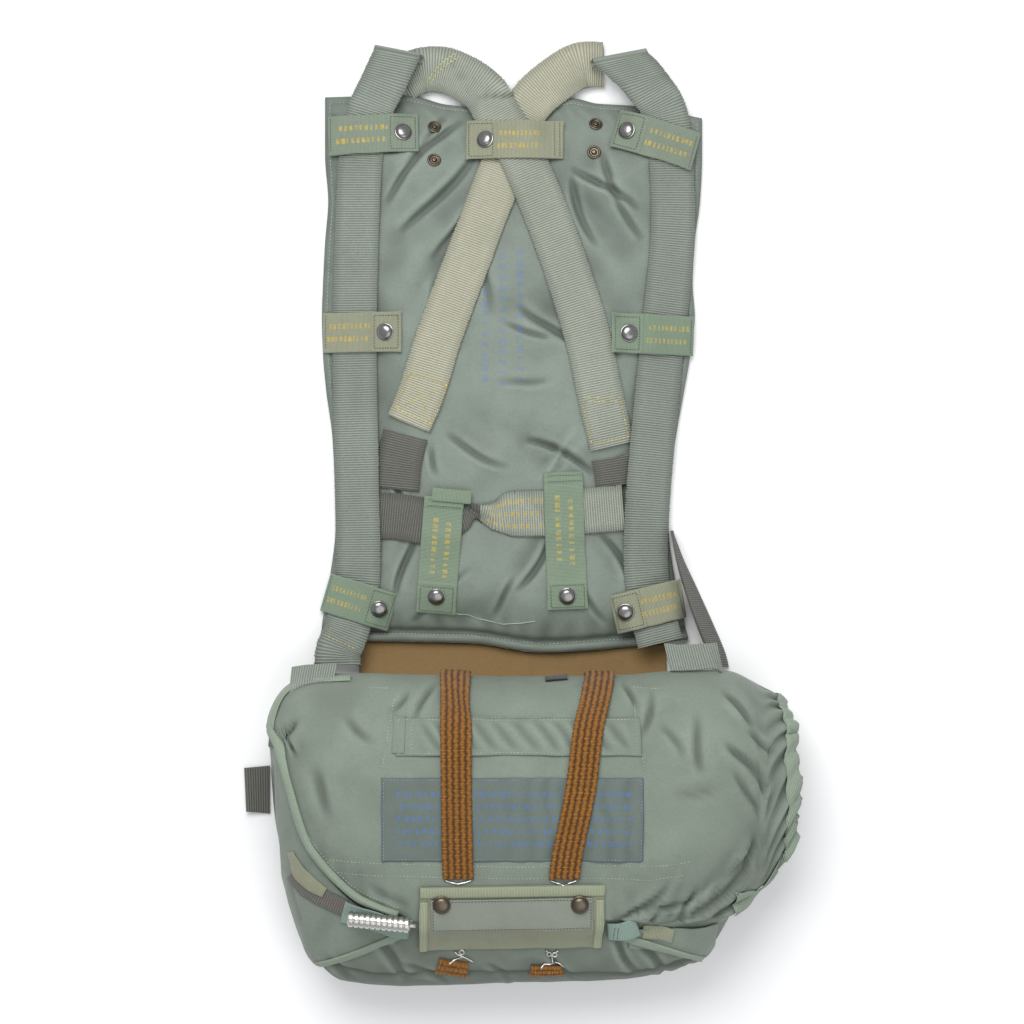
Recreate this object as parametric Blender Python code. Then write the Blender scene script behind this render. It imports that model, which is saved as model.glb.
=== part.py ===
"""Packed parachute lying on its back: padded back pad, harness webbing and packed container.

Sizes below are millimetres, X across, Y up towards the shoulders and Z up from the floor.
"""

import math

import bmesh
import bpy
from mathutils import Vector
from mathutils.bvhtree import BVHTree

MM = 0.001
LAYOUT_CENTRE = (8.0, 2.5)
GAP = 0.45
WEB_WIDTH = 44.0
WEB_THICK = 2.4
TAPE_WIDTH = 38.0
TAPE_THICK = 1.6
CLOTH_THICK = 2.2
STATION = 15.0
NEAR = 2.7

PAD_EDGE = 8.0
PAD_CROWN = 27.0
PAD_HEM = 11.0

PACK_FULLNESS = 2.25
PACK_TUCK = 12.0
HEM_RECESS = 7.0
HEM_SOFTNESS = 14.0
RECESSED = -14.0
FRILL_START = 228.0
FRILL_DEPTH = 7.0
FRILL_WAVES = 9.0
FRILL_SHARE = 0.55
FRILL_TRIM = 0.3

SNAP_RADIUS = 8.4
STUD_RADIUS = 6.5
ROUND_SIDES = 10
WIRE_RADIUS = 1.1
BAND_WIDTH = 29.0
BAND_RIBS = 5
BAND_THICK = 2.4
RIB_HEIGHT = 1.3
BAND_STATION = 13.0
BAND_FOOT = -0.42
BINDING_WIDTH = 8.5
BINDING_THICK = 2.6
HOUSING_RADIUS = 7.5
HOUSING_TURNS = 11

UP = Vector((0.0, 0.0, 1.0))


def table(columns, rows):
    """Rows of a table as dictionaries keyed by the column names."""
    return [dict(zip(columns.split(), row)) for row in rows]


PAD_SIDES = table("y left right", [
    (398, -179, 182), (341, -179, 182), (298, -176, 180), (258, -179, 175), (218, -181, 173),
    (188, -182, 175), (152, -181, 171), (117, -178, 165), (72, -172, 157), (32, -170, 151),
    (-14, -169, 150), (-60, -174, 155), (-95, -180, 163), (-123, -184, 169),
])
PAD_TOP = table("x y", [
    (-179, 397), (-100, 399), (-62, 390), (-11, 386), (58, 396), (82, 391), (115, 389), (182, 377),
])
PAD_BOTTOM = table("x y", [
    (-184, -122), (-139, -123), (-42, -125), (30, -134), (116, -128), (169, -122),
])
# Pull creases of the pad: a trough is a negative depth, a puff a positive one.
PAD_CREASES = table("x0 y0 x1 y1 width depth", [
    (-20, 335, -120, 235, 13, -8), (-30, 300, -95, 190, 12, -6), (30, 330, 110, 250, 14, -8),
    (45, 345, 118, 300, 11, -5), (20, 215, 70, 150, 16, -7), (60, 250, 105, 190, 14, -6),
    (-10, 195, 45, 175, 13, -6), (-60, 90, 20, 60, 20, -5), (20, 62, 72, 42, 12, -9),
    (30, 30, 80, 78, 14, 7), (-40, 30, 0, 66, 18, 5), (40, -12, 10, -70, 13, -6),
    (-95, -25, -105, -75, 12, -6), (85, -20, 112, -60, 12, -6), (-5, -85, -60, -110, 14, -4),
    (-90, 260, -75, 120, 26, 4), (60, 120, 110, 90, 16, 5), (-150, 215, -120, 60, 20, -4),
])

PACK_SECTIONS = table("x north south crown top waist", [
    (-231, -222, -262, -240, 56, 40), (-228, -200, -300, -244, 88, 50),
    (-220, -180, -340, -248, 112, 55), (-206, -165, -388, -250, 128, 58),
    (-190, -158, -424, -252, 137, 60), (-160, -155, -447, -254, 144, 62),
    (-105, -156, -452, -255, 150, 64), (0, -158, -449, -256, 152, 64),
    (100, -157, -446, -255, 151, 64), (150, -153, -438, -252, 148, 62),
    (182, -152, -425, -250, 144, 60), (200, -153, -402, -248, 140, 58),
    (222, -161, -362, -246, 130, 55), (240, -176, -336, -246, 114, 52),
    (252, -196, -308, -246, 92, 48), (259, -222, -272, -246, 58, 40),
])
# Lower edge of the top flap, across the container.
HEM = table("x y", [
    (-229, -196), (-215, -212), (-203, -250), (-190, -295), (-175, -319), (-157, -340), (-139, -355),
    (-104, -369), (-80, -377), (0, -377), (85, -373), (140, -377), (196, -373), (231, -352),
    (262, -300),
])
LOW_LEFT_SEAM = table("x y", [(-206, -400), (-190, -427), (-150, -413), (-102, -391)])
LOW_RIGHT_SEAM = table("x y", [(102, -393), (140, -406), (181, -421), (196, -408)])
PACK_FOLDS = table("x0 y0 x1 y1 width depth", [
    (246, -300, 120, -384, 11, -7), (238, -330, 160, -386, 9, -6), (236, -265, 205, -335, 12, -6),
    (120, -345, 92, -384, 11, -5), (250, -215, 200, -190, 12, -4), (225, -235, 236, -290, 12, 5),
    (-165, -172, -100, -180, 15, -3), (-208, -205, -196, -225, 9, -6), (150, -170, 128, -230, 11, -3),
    (125, -320, 170, -300, 18, 5), (-150, -330, -110, -362, 15, -3), (-190, -240, -150, -300, 30, 3),
    (-60, -165, -30, -200, 12, -3), (40, -395, 70, -436, 10, -4), (-120, -400, -95, -440, 12, -3),
    (150, -392, 110, -430, 12, -5), (-20, -205, 20, -215, 14, -2), (118, -160, 112, -190, 10, -3),
])

# Webbing routes: centre line, and how far the left and right edges stand off the floor.
LIFT_LEFT = table("x y left right", [
    (-166, -145, 24, 26), (-165, -131, 13, 15), (-156, -107, 0, 0), (-147, -62, 0, 0),
    (-148, 32, 0, 0), (-150, 152, 0, 0), (-148, 258, 0, 0), (-144, 339, 0, 0), (-136, 380, 0, 0),
    (-122, 410, 18, 18), (-112, 431, 20, 22),
])
LIFT_RIGHT = table("x y left right", [
    (141, -125, 30, 30), (135, -100, 0, 0), (129, -65, 0, 0), (128, -25, 0, 0), (131, 32, 0, 0),
    (142, 149, 0, 0), (153, 258, 0, 0), (152, 330, 0, 0), (146, 380, 0, 0), (126, 410, 26, 18),
    (106, 429, 30, 22),
])
CROSS_LEFT = table("x y left right", [
    (-106, 414, 2, 2), (-84, 423, 6, 4), (-58, 420, 14, 8), (-28, 402, 14, 10), (-12, 376, 0, 0),
    (10, 337, 0, 0), (42, 258, 0, 0), (69, 176, 0, 0), (84, 109, 0, 0), (95, 62, 0, 0),
])
CROSS_RIGHT = table("x y left right", [
    (88, 428, 4, 4), (66, 427, 8, 10), (46, 416, 8, 12), (22, 396, 6, 8), (7, 372, 0, 0),
    (-8, 330, 0, 0), (-35, 258, 0, 0), (-67, 172, 0, 0), (-84, 118, 0, 0), (-98, 84, 0, 0),
])
JOIN_LEFT = table("x y left right", [(-101, 74, 0, 0), (-107, 48, 0, 0), (-110, 22, 0, 0)])
JOIN_RIGHT = table("x y left right", [(97, 52, 0, 0), (99, 40, 0, 0), (101, 25, 0, 0)])
BACK_BAND = table("x y half", [
    (-128, -3, 22), (-105, -5, 22), (-85, -8, 22), (-64, -8, 21), (-48, -4, 15), (-34, 0, 6),
    (-16, -3, 14), (0, -2, 21), (31, -1, 22), (69, 1, 22), (106, 4, 22),
])

TABS = table("name x0 y0 x1 y1 snap", [
    ("upper_left", -176, 359, -89, 361, 0.17), ("top", -44, 354, 49, 354, 0.2),
    ("upper_right", 176, 344, 98, 366, 0.15), ("mid_left", -181, 171, -105, 171, 0.2),
    ("mid_right", 174, 168, 95, 170, 0.2), ("low_left", -179, -76, -113, -96, 0.2),
    ("low_right", 163, -82, 96, -98, 0.18), ("pair_left", -64, 14, -73, -97, 0.15),
    ("pair_right", 48, 38, 53, -93, 0.1),
])
# The top tab's snap is near its left end, so it is measured from its first end.
SNAP_AT_START = ("top",)
STUDS = table("x y", [(-74, 367), (-74, 334), (80, 370), (78, 342)])

# Opening bands from the container's north edge to their hooks; they start below it on the wall.
BAND_LEFT = table("x y", [(-53, -159), (-52, -190), (-51, -222), (-50, -290), (-49, -334.5)])
BAND_RIGHT = table("x y", [(82, -158), (76, -180), (69, -207), (62, -256), (51, -309), (47.5, -334.5)])
LOW_BAND_LEFT = table("x y", [(-69, -424), (-41, -429)])
LOW_BAND_RIGHT = table("x y", [(17, -430), (48, -430)])

# How far the folded ends' left and right corners run beyond the route.
SLANT_REACH = 60.0
LIFT_LEFT_SLANT = (0.0, 11.0)
LIFT_RIGHT_SLANT = (19.0, -12.0)

# Places along the cloths where their grids have a line.
HEM_SHARES_X = [0.0, 0.016, 0.034, 0.065]
LOW_SHARES_Y = [0.0, 0.007, 0.014, 0.024, 0.04]
HIGH_SHARES_Y = [0.962, 0.977, 0.988, 1.0]
BODY_STATIONS = [
    -231, -229, -224, -216, -206, -195, -183, -170, -155, -138, -119, -99, -76, -50, -22, 8, 38, 66,
    90, 111, 130, 148, 165, 180, 194, 207, 219, 230, 240, 248, 254, 257.5, 259,
]
FLAP_STATIONS = [
    -224, -217, -208, -198, -186, -174, -160, -142, -122, -100, -76, -48, -20, 8, 36, 64, 90, 112,
    132, 150, 168, 184, 198, 211, 223, 233, 241, 248, 255, 262,
]
LEFT_FLAP_STATIONS = [-218, -208, -196, -182, -166, -148, -128, -108]
RIGHT_FLAP_STATIONS = [108, 122, 138, 154, 170, 184, 194]
HEM_BINDING_X = (-222, -104)
END_BINDING_X = (254.0, 257.5, 261.0)
FLAP_START = -0.35

# Slope of the tan panel from the pad's foot to the container's wall.
TAN_LEFT = -146
TAN_RIGHT = 148
TAN_CREASE_X = 11.0
TAN_WALL_GAP = 0.7
WAIST = 62.0
TAN_SLOPE = table("z share", [(0.4, 0.0), (2.2, 0.45), (6.5, 0.8), (16.0, 1.0), (30.0, 1.0)])

# Rectangles sewn on the container.
POCKET = {"x0": -106, "x1": 118, "y0": -224, "y1": -192}
DATA_PATCH = {"x0": -119, "x1": 120, "y0": -319, "y1": -243}
COVER = {"x0": -84, "x1": 85, "y0": -406, "y1": -340.5}
COVER_SKEW = 3.0
COVER_LEAN = 2.0
COVER_STRIP = {"x0": -74, "x1": 74, "y0": -381, "y1": -352}
COVER_SNAPS = table("name x y", [("cover_left", -64, -357), ("cover_right", 62, -356.5)])

# Cable housing, the cloth under it and the strap at the cover's other end.
STRAP_THICK = 1.6
HOUSING_CLOTH = table("x y", [(-156, -368), (-93, -384)])
HOUSING_CLOTH_HALF = 11.0
HOUSING = table("x y", [(-150, -372), (-94, -377.5)])
END_STRAP = table("x y", [(88, -387), (103, -385), (116, -381)])
HOOKS = {
    "hook_left": [(-61, -336.8), (-56, -337.7), (-49, -337.9), (-42, -337.7), (-37, -336.8)],
    "hook_right": [(35, -337.1), (40, -338.1), (47, -339.0), (54, -338.1), (59, -337.1)],
    "hook_low_left": [(-46, -409), (-51, -412), (-46, -414), (-41, -411), (-39, -415), (-37, -418)],
    "hook_low_right": [(31, -410), (35, -413), (38, -410), (43, -410), (44, -414), (38, -416),
                       (37, -421)],
}

WEBBING = ("webbing", (0.26, 0.28, 0.235), 0.8, 0.0)
WEBBING_PALE = ("webbing_pale", (0.36, 0.35, 0.27), 0.8, 0.0)
WEBBING_DARK = ("webbing_dark", (0.15, 0.15, 0.135), 0.8, 0.0)
NYLON = ("pad_nylon", (0.18, 0.23, 0.20), 0.55, 0.0)
CANVAS = ("pack_nylon", (0.17, 0.21, 0.175), 0.62, 0.0)
TAN = ("tan_canvas", (0.30, 0.20, 0.095), 0.85, 0.0)
TAPE_GREEN = ("tape_green", (0.16, 0.28, 0.18), 0.75, 0.0)
TAPE_OLIVE = ("tape_olive", (0.25, 0.25, 0.17), 0.75, 0.0)
BINDING = ("binding", (0.25, 0.37, 0.27), 0.75, 0.0)
ELASTIC = ("elastic", (0.26, 0.125, 0.032), 0.9, 0.0)
BLUE_CLOTH = ("blue_cloth", (0.19, 0.34, 0.31), 0.8, 0.0)
STEEL = ("steel", (0.6, 0.6, 0.58), 0.25, 1.0)
DARK_STEEL = ("snap_steel", (0.12, 0.115, 0.11), 0.3, 1.0)
BRASS = ("brass", (0.16, 0.12, 0.07), 0.4, 1.0)

TAB_FINISH = {
    "upper_left": TAPE_GREEN, "top": TAPE_OLIVE, "upper_right": TAPE_OLIVE, "mid_left": TAPE_OLIVE,
    "low_right": TAPE_OLIVE,
}

placed = {}


def clear_scene():
    for thing in list(bpy.data.objects):
        bpy.data.objects.remove(thing, do_unlink=True)


def material(finish):
    """The named Principled material, made once."""
    name, colour, roughness, metallic = finish
    if name in bpy.data.materials:
        return bpy.data.materials[name]
    made = bpy.data.materials.new(name)
    made.use_nodes = True
    shader = made.node_tree.nodes["Principled BSDF"]
    shader.inputs["Base Color"].default_value = (*colour, 1.0)
    shader.inputs["Roughness"].default_value = roughness
    shader.inputs["Metallic"].default_value = metallic
    return made


def add_object(name, points, faces, finish):
    """One closed object from points in millimetres; it then carries whatever is laid on it."""
    shift = Vector((LAYOUT_CENTRE[0], LAYOUT_CENTRE[1], 0.0))
    mesh = bpy.data.meshes.new(name)
    mesh.from_pydata([(Vector(p) - shift) * MM for p in points], [], faces)
    shaped = bmesh.new()
    shaped.from_mesh(mesh)
    bmesh.ops.recalc_face_normals(shaped, faces=shaped.faces)
    bmesh.ops.triangulate(shaped, faces=shaped.faces)
    shaped.to_mesh(mesh)
    triangles = [[v.index for v in face.verts] for face in shaped.faces]
    shaped.free()
    mesh.shade_smooth()
    thing = bpy.data.objects.new(name, mesh)
    mesh.materials.append(material(finish))
    bpy.context.scene.collection.objects.link(thing)
    placed[name] = BVHTree.FromPolygons([Vector(p) for p in points], triangles)
    return thing


def smooth_step(value):
    value = min(1.0, max(0.0, value))
    return value * value * (3.0 - 2.0 * value)


def blend_rows(rows, key, at):
    """Smooth values of a table's other columns at one place along its key column."""
    rows = sorted(rows, key=lambda row: row[key])
    at = min(max(at, rows[0][key]), rows[-1][key])
    k = next((i for i in range(1, len(rows)) if rows[i][key] >= at), len(rows) - 1)
    near, far = rows[k - 1], rows[k]
    span = far[key] - near[key]
    share = (at - near[key]) / span
    before = rows[max(0, k - 2)]
    after = rows[min(len(rows) - 1, k + 1)]
    result = {}
    for column in near:
        if column == key:
            result[column] = at
            continue
        straight = (far[column] - near[column]) / span
        slope_near = slope_limited(before, near, straight, key, column)
        slope_far = slope_limited(far, after, straight, key, column)
        a = share * share * share - 2.0 * share * share + share
        b = share * share * share - share * share
        c = smooth_step(share)
        result[column] = (near[column] * (1.0 - c) + far[column] * c
                          + (a * slope_near + b * slope_far) * span)
    return result


def slope_limited(first, second, straight, key, column):
    """Slope at a table's row that never overshoots the neighbouring rows."""
    width = second[key] - first[key]
    if width <= 0.0:
        return straight
    other = (second[column] - first[column]) / width
    if other * straight <= 0.0:
        return 0.0
    return 2.0 * other * straight / (other + straight)


def crease_height(creases, x, y):
    """Sum of the troughs and puffs at a place, each fading out along its length."""
    height = 0.0
    for crease in creases:
        ax, ay = crease["x0"], crease["y0"]
        bx, by = crease["x1"] - ax, crease["y1"] - ay
        along = ((x - ax) * bx + (y - ay) * by) / (bx * bx + by * by)
        inside = min(1.0, max(0.0, along))
        away = math.hypot(x - ax - inside * bx, y - ay - inside * by)
        fade = math.sin(math.pi * (0.15 + 0.7 * inside))
        height += crease["depth"] * fade * math.exp(-(away / crease["width"]) ** 2)
    return height


def smooth_route(rows, spacing):
    """Points along a rounded line through a table's rows, about one spacing apart."""
    keys = list(rows[0])
    result = []
    for k in range(len(rows) - 1):
        p0 = rows[max(0, k - 1)]
        p1, p2 = rows[k], rows[k + 1]
        p3 = rows[min(len(rows) - 1, k + 2)]
        length = math.hypot(*(p2[key] - p1[key] for key in keys[:2]))
        steps = max(1, round(length / spacing))
        for i in range(steps):
            t = i / steps
            result.append({key: catmull(p0[key], p1[key], p2[key], p3[key], t) for key in keys})
    result.append(dict(rows[-1]))
    return result


def catmull(p0, p1, p2, p3, t):
    return 0.5 * (2.0 * p1 + (p2 - p0) * t + (2.0 * p0 - 5.0 * p1 + 4.0 * p2 - p3) * t * t
                  + (3.0 * p1 - p0 - 3.0 * p2 + p3) * t * t * t)


def floor_frame(x, y):
    return Vector((x, y, 0.0)), UP


def pack_base(x, along, folds=True):
    """The container's skin: along is -1 to 0 up the north wall, 0 to 1 over the top, 1 to 2 down."""
    section = blend_rows(PACK_SECTIONS, "x", x)
    waist = section["waist"]
    if along < 0.0:
        return Vector((x, section["north"] - PACK_TUCK * along * along, waist * (1.0 + along)))
    if along > 1.0:
        down = along - 1.0
        return Vector((x, section["south"] + PACK_TUCK * down * down, waist * (1.0 - down)))
    angle = math.pi * along
    lean = math.cos(angle)
    reach = section["north"] - section["crown"] if lean > 0 else section["crown"] - section["south"]
    power = 2.0 / PACK_FULLNESS
    y = section["crown"] + math.copysign(reach * abs(lean) ** power, lean)
    z = waist + (section["top"] - waist) * max(0.0, math.sin(angle)) ** power
    if folds:
        z += crease_height(PACK_FOLDS, x, y) * smooth_step(math.sin(angle) * 1.6)
    return Vector((x, y, z))


def pack_frame(x, along):
    """A point of the container's skin and its outward direction."""
    step_x, step_along = 2.0, 0.01
    first, last = PACK_SECTIONS[0]["x"], PACK_SECTIONS[-1]["x"]
    x0, x1 = max(first, x - step_x), min(last, x + step_x)
    across = pack_base(x1, along) - pack_base(x0, along)
    up = pack_base(x, along - step_along) - pack_base(x, along + step_along)
    return pack_base(x, along), across.cross(up).normalized()


def pack_along(x, y):
    """The skin's along value under a place seen from above."""
    section = blend_rows(PACK_SECTIONS, "x", x)
    if y >= section["crown"]:
        lean = (y - section["crown"]) / (section["north"] - section["crown"])
    else:
        lean = -(section["crown"] - y) / (section["crown"] - section["south"])
    lean = max(-1.0, min(1.0, lean))
    lean = math.copysign(abs(lean) ** (PACK_FULLNESS / 2.0), lean)
    return math.acos(lean) / math.pi


def pack_plan(x, y):
    return pack_frame(x, pack_along(x, y))


def hem_y(x):
    return blend_rows(HEM, "x", x)["y"]


def cast(point, normal, reach):
    """Height above a point, along its normal, of the highest thing already placed there."""
    start = point + normal * reach
    best = None
    for tree in placed.values():
        hit, _, _, distance = tree.ray_cast(start, -normal, reach + 60.0)
        if hit is not None and (best is None or reach - distance > best):
            best = reach - distance
    return best


def needed(point, normal, reach):
    """Height that clears what lies under a point and just beside it."""
    side = normal.cross(Vector((0.3, 1.0, 0.2))).normalized()
    other = normal.cross(side)
    best = None
    for shift in (Vector(), side * NEAR, -side * NEAR, other * NEAR, -other * NEAR):
        height = cast(point + shift, normal, reach)
        if height is not None and (best is None or height > best):
            best = height
    return best


def mix(a, b, share):
    return a + (b - a) * share


def lift_clear(places, heights, reach, gap, passes=4, spacing=4.0):
    """Raise a cloth's heights until it clears everything below it between its points too."""
    rows, columns = len(places), len(places[0])
    for turn in range(passes):
        for i in range(rows - 1):
            for j in range(columns - 1):
                corners = [(i, j), (i + 1, j), (i, j + 1), (i + 1, j + 1)]
                points = [places[a][b][0] for a, b in corners]
                normals = [places[a][b][1] for a, b in corners]
                long = max(2, math.ceil((points[1] - points[0]).length / spacing))
                wide = max(2, math.ceil((points[2] - points[0]).length / spacing))
                for a in range(long + 1):
                    for b in range(wide + 1):
                        s, t = a / long, b / wide
                        shares = [(1 - s) * (1 - t), s * (1 - t), (1 - s) * t, s * t]
                        point = sum((p * w for p, w in zip(points, shares)), Vector())
                        normal = sum((n * w for n, w in zip(normals, shares)), Vector()).normalized()
                        want = needed(point, normal, reach)
                        if want is None:
                            continue
                        have = sum(heights[c[0]][c[1]] * w for c, w in zip(corners, shares))
                        short = want + gap - have
                        if short > 0.0:
                            total = sum(w * w for w in shares)
                            for c, w in zip(corners, shares):
                                share = 1.0 if turn == passes - 1 else w / total
                                heights[c[0]][c[1]] += short * share


def fill_dips(heights, sag_long, sag_wide):
    """Stiff cloth bridges hollows: each point is at least the mean of its neighbours less a sag."""
    rows, columns = len(heights), len(heights[0])
    for _ in range(60):
        for i in range(rows):
            for j in range(columns):
                if 0 < i < rows - 1:
                    mean = 0.5 * (heights[i - 1][j] + heights[i + 1][j])
                    heights[i][j] = max(heights[i][j], mean - sag_long)
                if 0 < j < columns - 1:
                    mean = 0.5 * (heights[i][j - 1] + heights[i][j + 1])
                    heights[i][j] = max(heights[i][j], mean - sag_wide)


def lay_cloth(name, places, thick, finish, least=None, sag=(0.5, 0.4), reach=300.0, relief=None,
              curl=None, ribs=0, gap=GAP, lowest=0.0):
    """Lay a grid of cloth on everything placed so far and give it its thickness."""
    rows, columns = len(places), len(places[0])
    heights = []
    for i in range(rows):
        line = []
        for j in range(columns):
            want = needed(*places[i][j], reach)
            low = lowest + least[i][j] if least else lowest
            line.append(max(low, lowest + gap if want is None else want + gap))
        heights.append(line)
    fill_dips(heights, *sag)
    lift_clear(places, heights, reach, gap)
    under = [[places[i][j][0] + places[i][j][1] * heights[i][j] for j in range(columns)]
             for i in range(rows)]
    if curl:
        under = curl(under)
    if ribs:
        return ribbed_strip(name, under, thick, ribs, finish)
    return thicken(name, under, thick, finish, relief)


def grid_normals(grid, hint):
    """Directions square to a grid of points, on the side that hint points to."""
    rows, columns = len(grid), len(grid[0])
    result = []
    for i in range(rows):
        line = []
        for j in range(columns):
            long = grid[min(i + 1, rows - 1)][j] - grid[max(i - 1, 0)][j]
            wide = grid[i][min(j + 1, columns - 1)] - grid[i][max(j - 1, 0)]
            line.append(long.cross(wide).normalized())
        result.append(line)
    middle = result[rows // 3][columns // 2]
    if middle.dot(hint) < 0.0:
        result = [[-n for n in line] for line in result]
    return result


def thicken(name, under, thick, finish, relief=None, hint=None):
    """A closed sheet: the given underside grid, the same grid raised by its thickness, and edges."""
    rows, columns = len(under), len(under[0])
    normals = grid_normals(under, hint or UP)
    points = [p for line in under for p in line]
    for i in range(rows):
        for j in range(columns):
            extra = relief(i, j, rows, columns) if relief else 0.0
            points.append(under[i][j] + normals[i][j] * (thick + extra))
    return add_object(name, points, sheet_faces(rows, columns), finish)


def ribbed_strip(name, under, thick, ribs, finish):
    """A closed strip of three points across below, and raised ribs along its upper side."""
    normals = grid_normals(under, UP)
    spans = 2 * ribs
    points, faces = [], []
    ring = 3 + spans + 1
    for line, directions in zip(under, normals):
        points += line
        for j in range(spans + 1):
            across = 2.0 * (spans - j) / spans
            k = min(1, int(across))
            base = line[k].lerp(line[k + 1], across - k)
            direction = directions[k].lerp(directions[k + 1], across - k).normalized()
            points.append(base + direction * (thick + RIB_HEIGHT * (j % 2)))
    for i in range(len(under) - 1):
        for j in range(ring):
            a, b = i * ring + j, i * ring + (j + 1) % ring
            faces.append((a, a + ring, b + ring, b))
    faces.append(tuple(range(ring)))
    faces.append(tuple((len(under) - 1) * ring + j for j in range(ring)))
    return add_object(name, points, faces, finish)


def sheet_faces(rows, columns):
    """Faces of a two-layer grid: both layers and the strip that closes them all round."""
    layer = rows * columns
    faces = []
    for i in range(rows - 1):
        for j in range(columns - 1):
            a = i * columns + j
            faces.append((a, a + 1, a + columns + 1, a + columns))
            faces.append((layer + a, layer + a + columns, layer + a + columns + 1, layer + a + 1))
    rim = [j for j in range(columns)]
    rim += [i * columns + columns - 1 for i in range(1, rows)]
    rim += [(rows - 1) * columns + j for j in range(columns - 2, -1, -1)]
    rim += [i * columns for i in range(rows - 2, 0, -1)]
    for k, a in enumerate(rim):
        b = rim[(k + 1) % len(rim)]
        faces.append((a, layer + a, layer + b, b))
    return faces


def strip_places(rows, across, frame, half=None, slant=(0.0, 0.0)):
    """Grid of places for a strip that follows a route, with its least heights.

    The slant is how far the end's left and right corners run beyond the route.
    """
    places, least = [], []
    count = len(rows)
    length = sum(math.hypot(b["x"] - a["x"], b["y"] - a["y"]) for a, b in zip(rows, rows[1:]))
    for i, row in enumerate(rows):
        a, b = rows[max(0, i - 1)], rows[min(count - 1, i + 1)]
        run = Vector((b["x"] - a["x"], b["y"] - a["y"], 0.0)).normalized()
        side = Vector((run.y, -run.x, 0.0))
        width = row.get("half", half)
        left = length * (1.0 - i / (count - 1))
        ramp = smooth_step(1.0 - left / SLANT_REACH)
        line, low = [], []
        for j in range(across):
            t = 2.0 * j / (across - 1) - 1.0
            beyond = ramp * mix(slant[0], slant[1], 0.5 + 0.5 * t)
            line.append(frame(row["x"] + side.x * width * t + run.x * beyond,
                              row["y"] + side.y * width * t + run.y * beyond))
            low.append(mix(row.get("left", 0.0), row.get("right", 0.0), 0.5 + 0.5 * t))
        places.append(line)
        least.append(low)
    return places, least


def web(name, route, finish, sag=(0.55, 0.25), across=3, spacing=STATION, thick=WEB_THICK,
        half=WEB_WIDTH / 2.0, curl=None, frame=floor_frame, relief=None, ribs=0, slant=(0.0, 0.0)):
    rows = smooth_route(route, spacing)
    places, least = strip_places(rows, across, frame, half, slant)
    reach, lowest = (300.0, 0.0) if frame is floor_frame else (40.0, RECESSED)
    return lay_cloth(name, places, thick, finish, least, sag, reach, relief, curl, ribs,
                     lowest=lowest)


def fold_under(under):
    """Carry a strap's last row round a tight half turn, down and back under itself."""
    radius, steps = 3.2, 4
    run = UP.cross(under[-1][-1] - under[-1][0]).normalized()
    result = list(under)
    last = under[-1]
    for k in range(1, steps + 1):
        angle = math.pi * k / steps
        shift = run * (radius * math.sin(angle)) - UP * (radius * (1.0 - math.cos(angle)))
        result.append([p + shift for p in last])
    result.append([p + shift - run * 4.0 for p in last])
    return result


def patch_places(patch, nx, ny, skew=0.0):
    """Grid of places on the container for a rectangular patch seen from above."""
    grid = []
    for i in range(nx):
        s = i / (nx - 1)
        x = mix(patch["x0"], patch["x1"], s)
        line = []
        for j in range(ny):
            t = j / (ny - 1)
            y = mix(patch["y0"], patch["y1"], t) + skew * (s - 0.5)
            line.append(pack_plan(x, y))
        grid.append(line)
    return grid


def build_pad():
    """The filled back pad: thin stitched hem, crowned middle and its pull creases."""
    shares_x = HEM_SHARES_X + [0.1 + 0.8 * k / 19 for k in range(20)]
    shares_x += [1.0 - s for s in reversed(HEM_SHARES_X)]
    shares_y = LOW_SHARES_Y + [0.06 + 0.88 * k / 30 for k in range(31)] + HIGH_SHARES_Y
    points = []
    for v in shares_y:
        for u in shares_x:
            y_low = blend_rows(PAD_BOTTOM, "x", mix(PAD_BOTTOM[0]["x"], PAD_BOTTOM[-1]["x"], u))["y"]
            y_high = blend_rows(PAD_TOP, "x", mix(PAD_TOP[0]["x"], PAD_TOP[-1]["x"], u))["y"]
            y = mix(y_low, y_high, v)
            sides = blend_rows(PAD_SIDES, "y", y)
            x = mix(sides["left"], sides["right"], u)
            points.append(Vector((x, y, pad_height(x, y, sides, y_low, y_high))))
    rows, columns = len(shares_y), len(shares_x)
    base = len(points)
    faces = []
    for i in range(rows - 1):
        for j in range(columns - 1):
            a = i * columns + j
            faces.append((a, a + 1, a + columns + 1, a + columns))
    rim = [j for j in range(columns)]
    rim += [i * columns + columns - 1 for i in range(1, rows)]
    rim += [(rows - 1) * columns + j for j in range(columns - 2, -1, -1)]
    rim += [i * columns for i in range(rows - 2, 0, -1)]
    for a in rim:
        points.append(Vector((points[a].x, points[a].y, 0.0)))
    for k, a in enumerate(rim):
        following = (k + 1) % len(rim)
        faces.append((a, base + k, base + following, rim[following]))
    faces.append(tuple(range(base, base + len(rim))))
    add_object("back_pad", points, faces, NYLON)


def pad_height(x, y, sides, y_low, y_high):
    """Height of the pad's face: a flat hem, then the filled crown."""
    edge = min(x - sides["left"], sides["right"] - x, y_high - y)
    foot = y - y_low
    rise = smooth_step((edge - PAD_HEM) / 75.0) ** 0.6 if edge > PAD_HEM else 0.0
    rise *= smooth_step((foot - 4.0) / 60.0) ** 0.5 if foot > 4.0 else 0.0
    height = PAD_EDGE + PAD_CROWN * rise
    if edge < 3.0:
        height -= 2.5 * (1.0 - edge / 3.0)
    if foot < 9.0:
        height += 5.0 * math.sin(math.pi * min(1.0, (foot + 1.5) / 10.5))
    return height + crease_height(PAD_CREASES, x, y) * smooth_step(edge / 45.0) * min(1.0, foot / 25.0)


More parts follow.
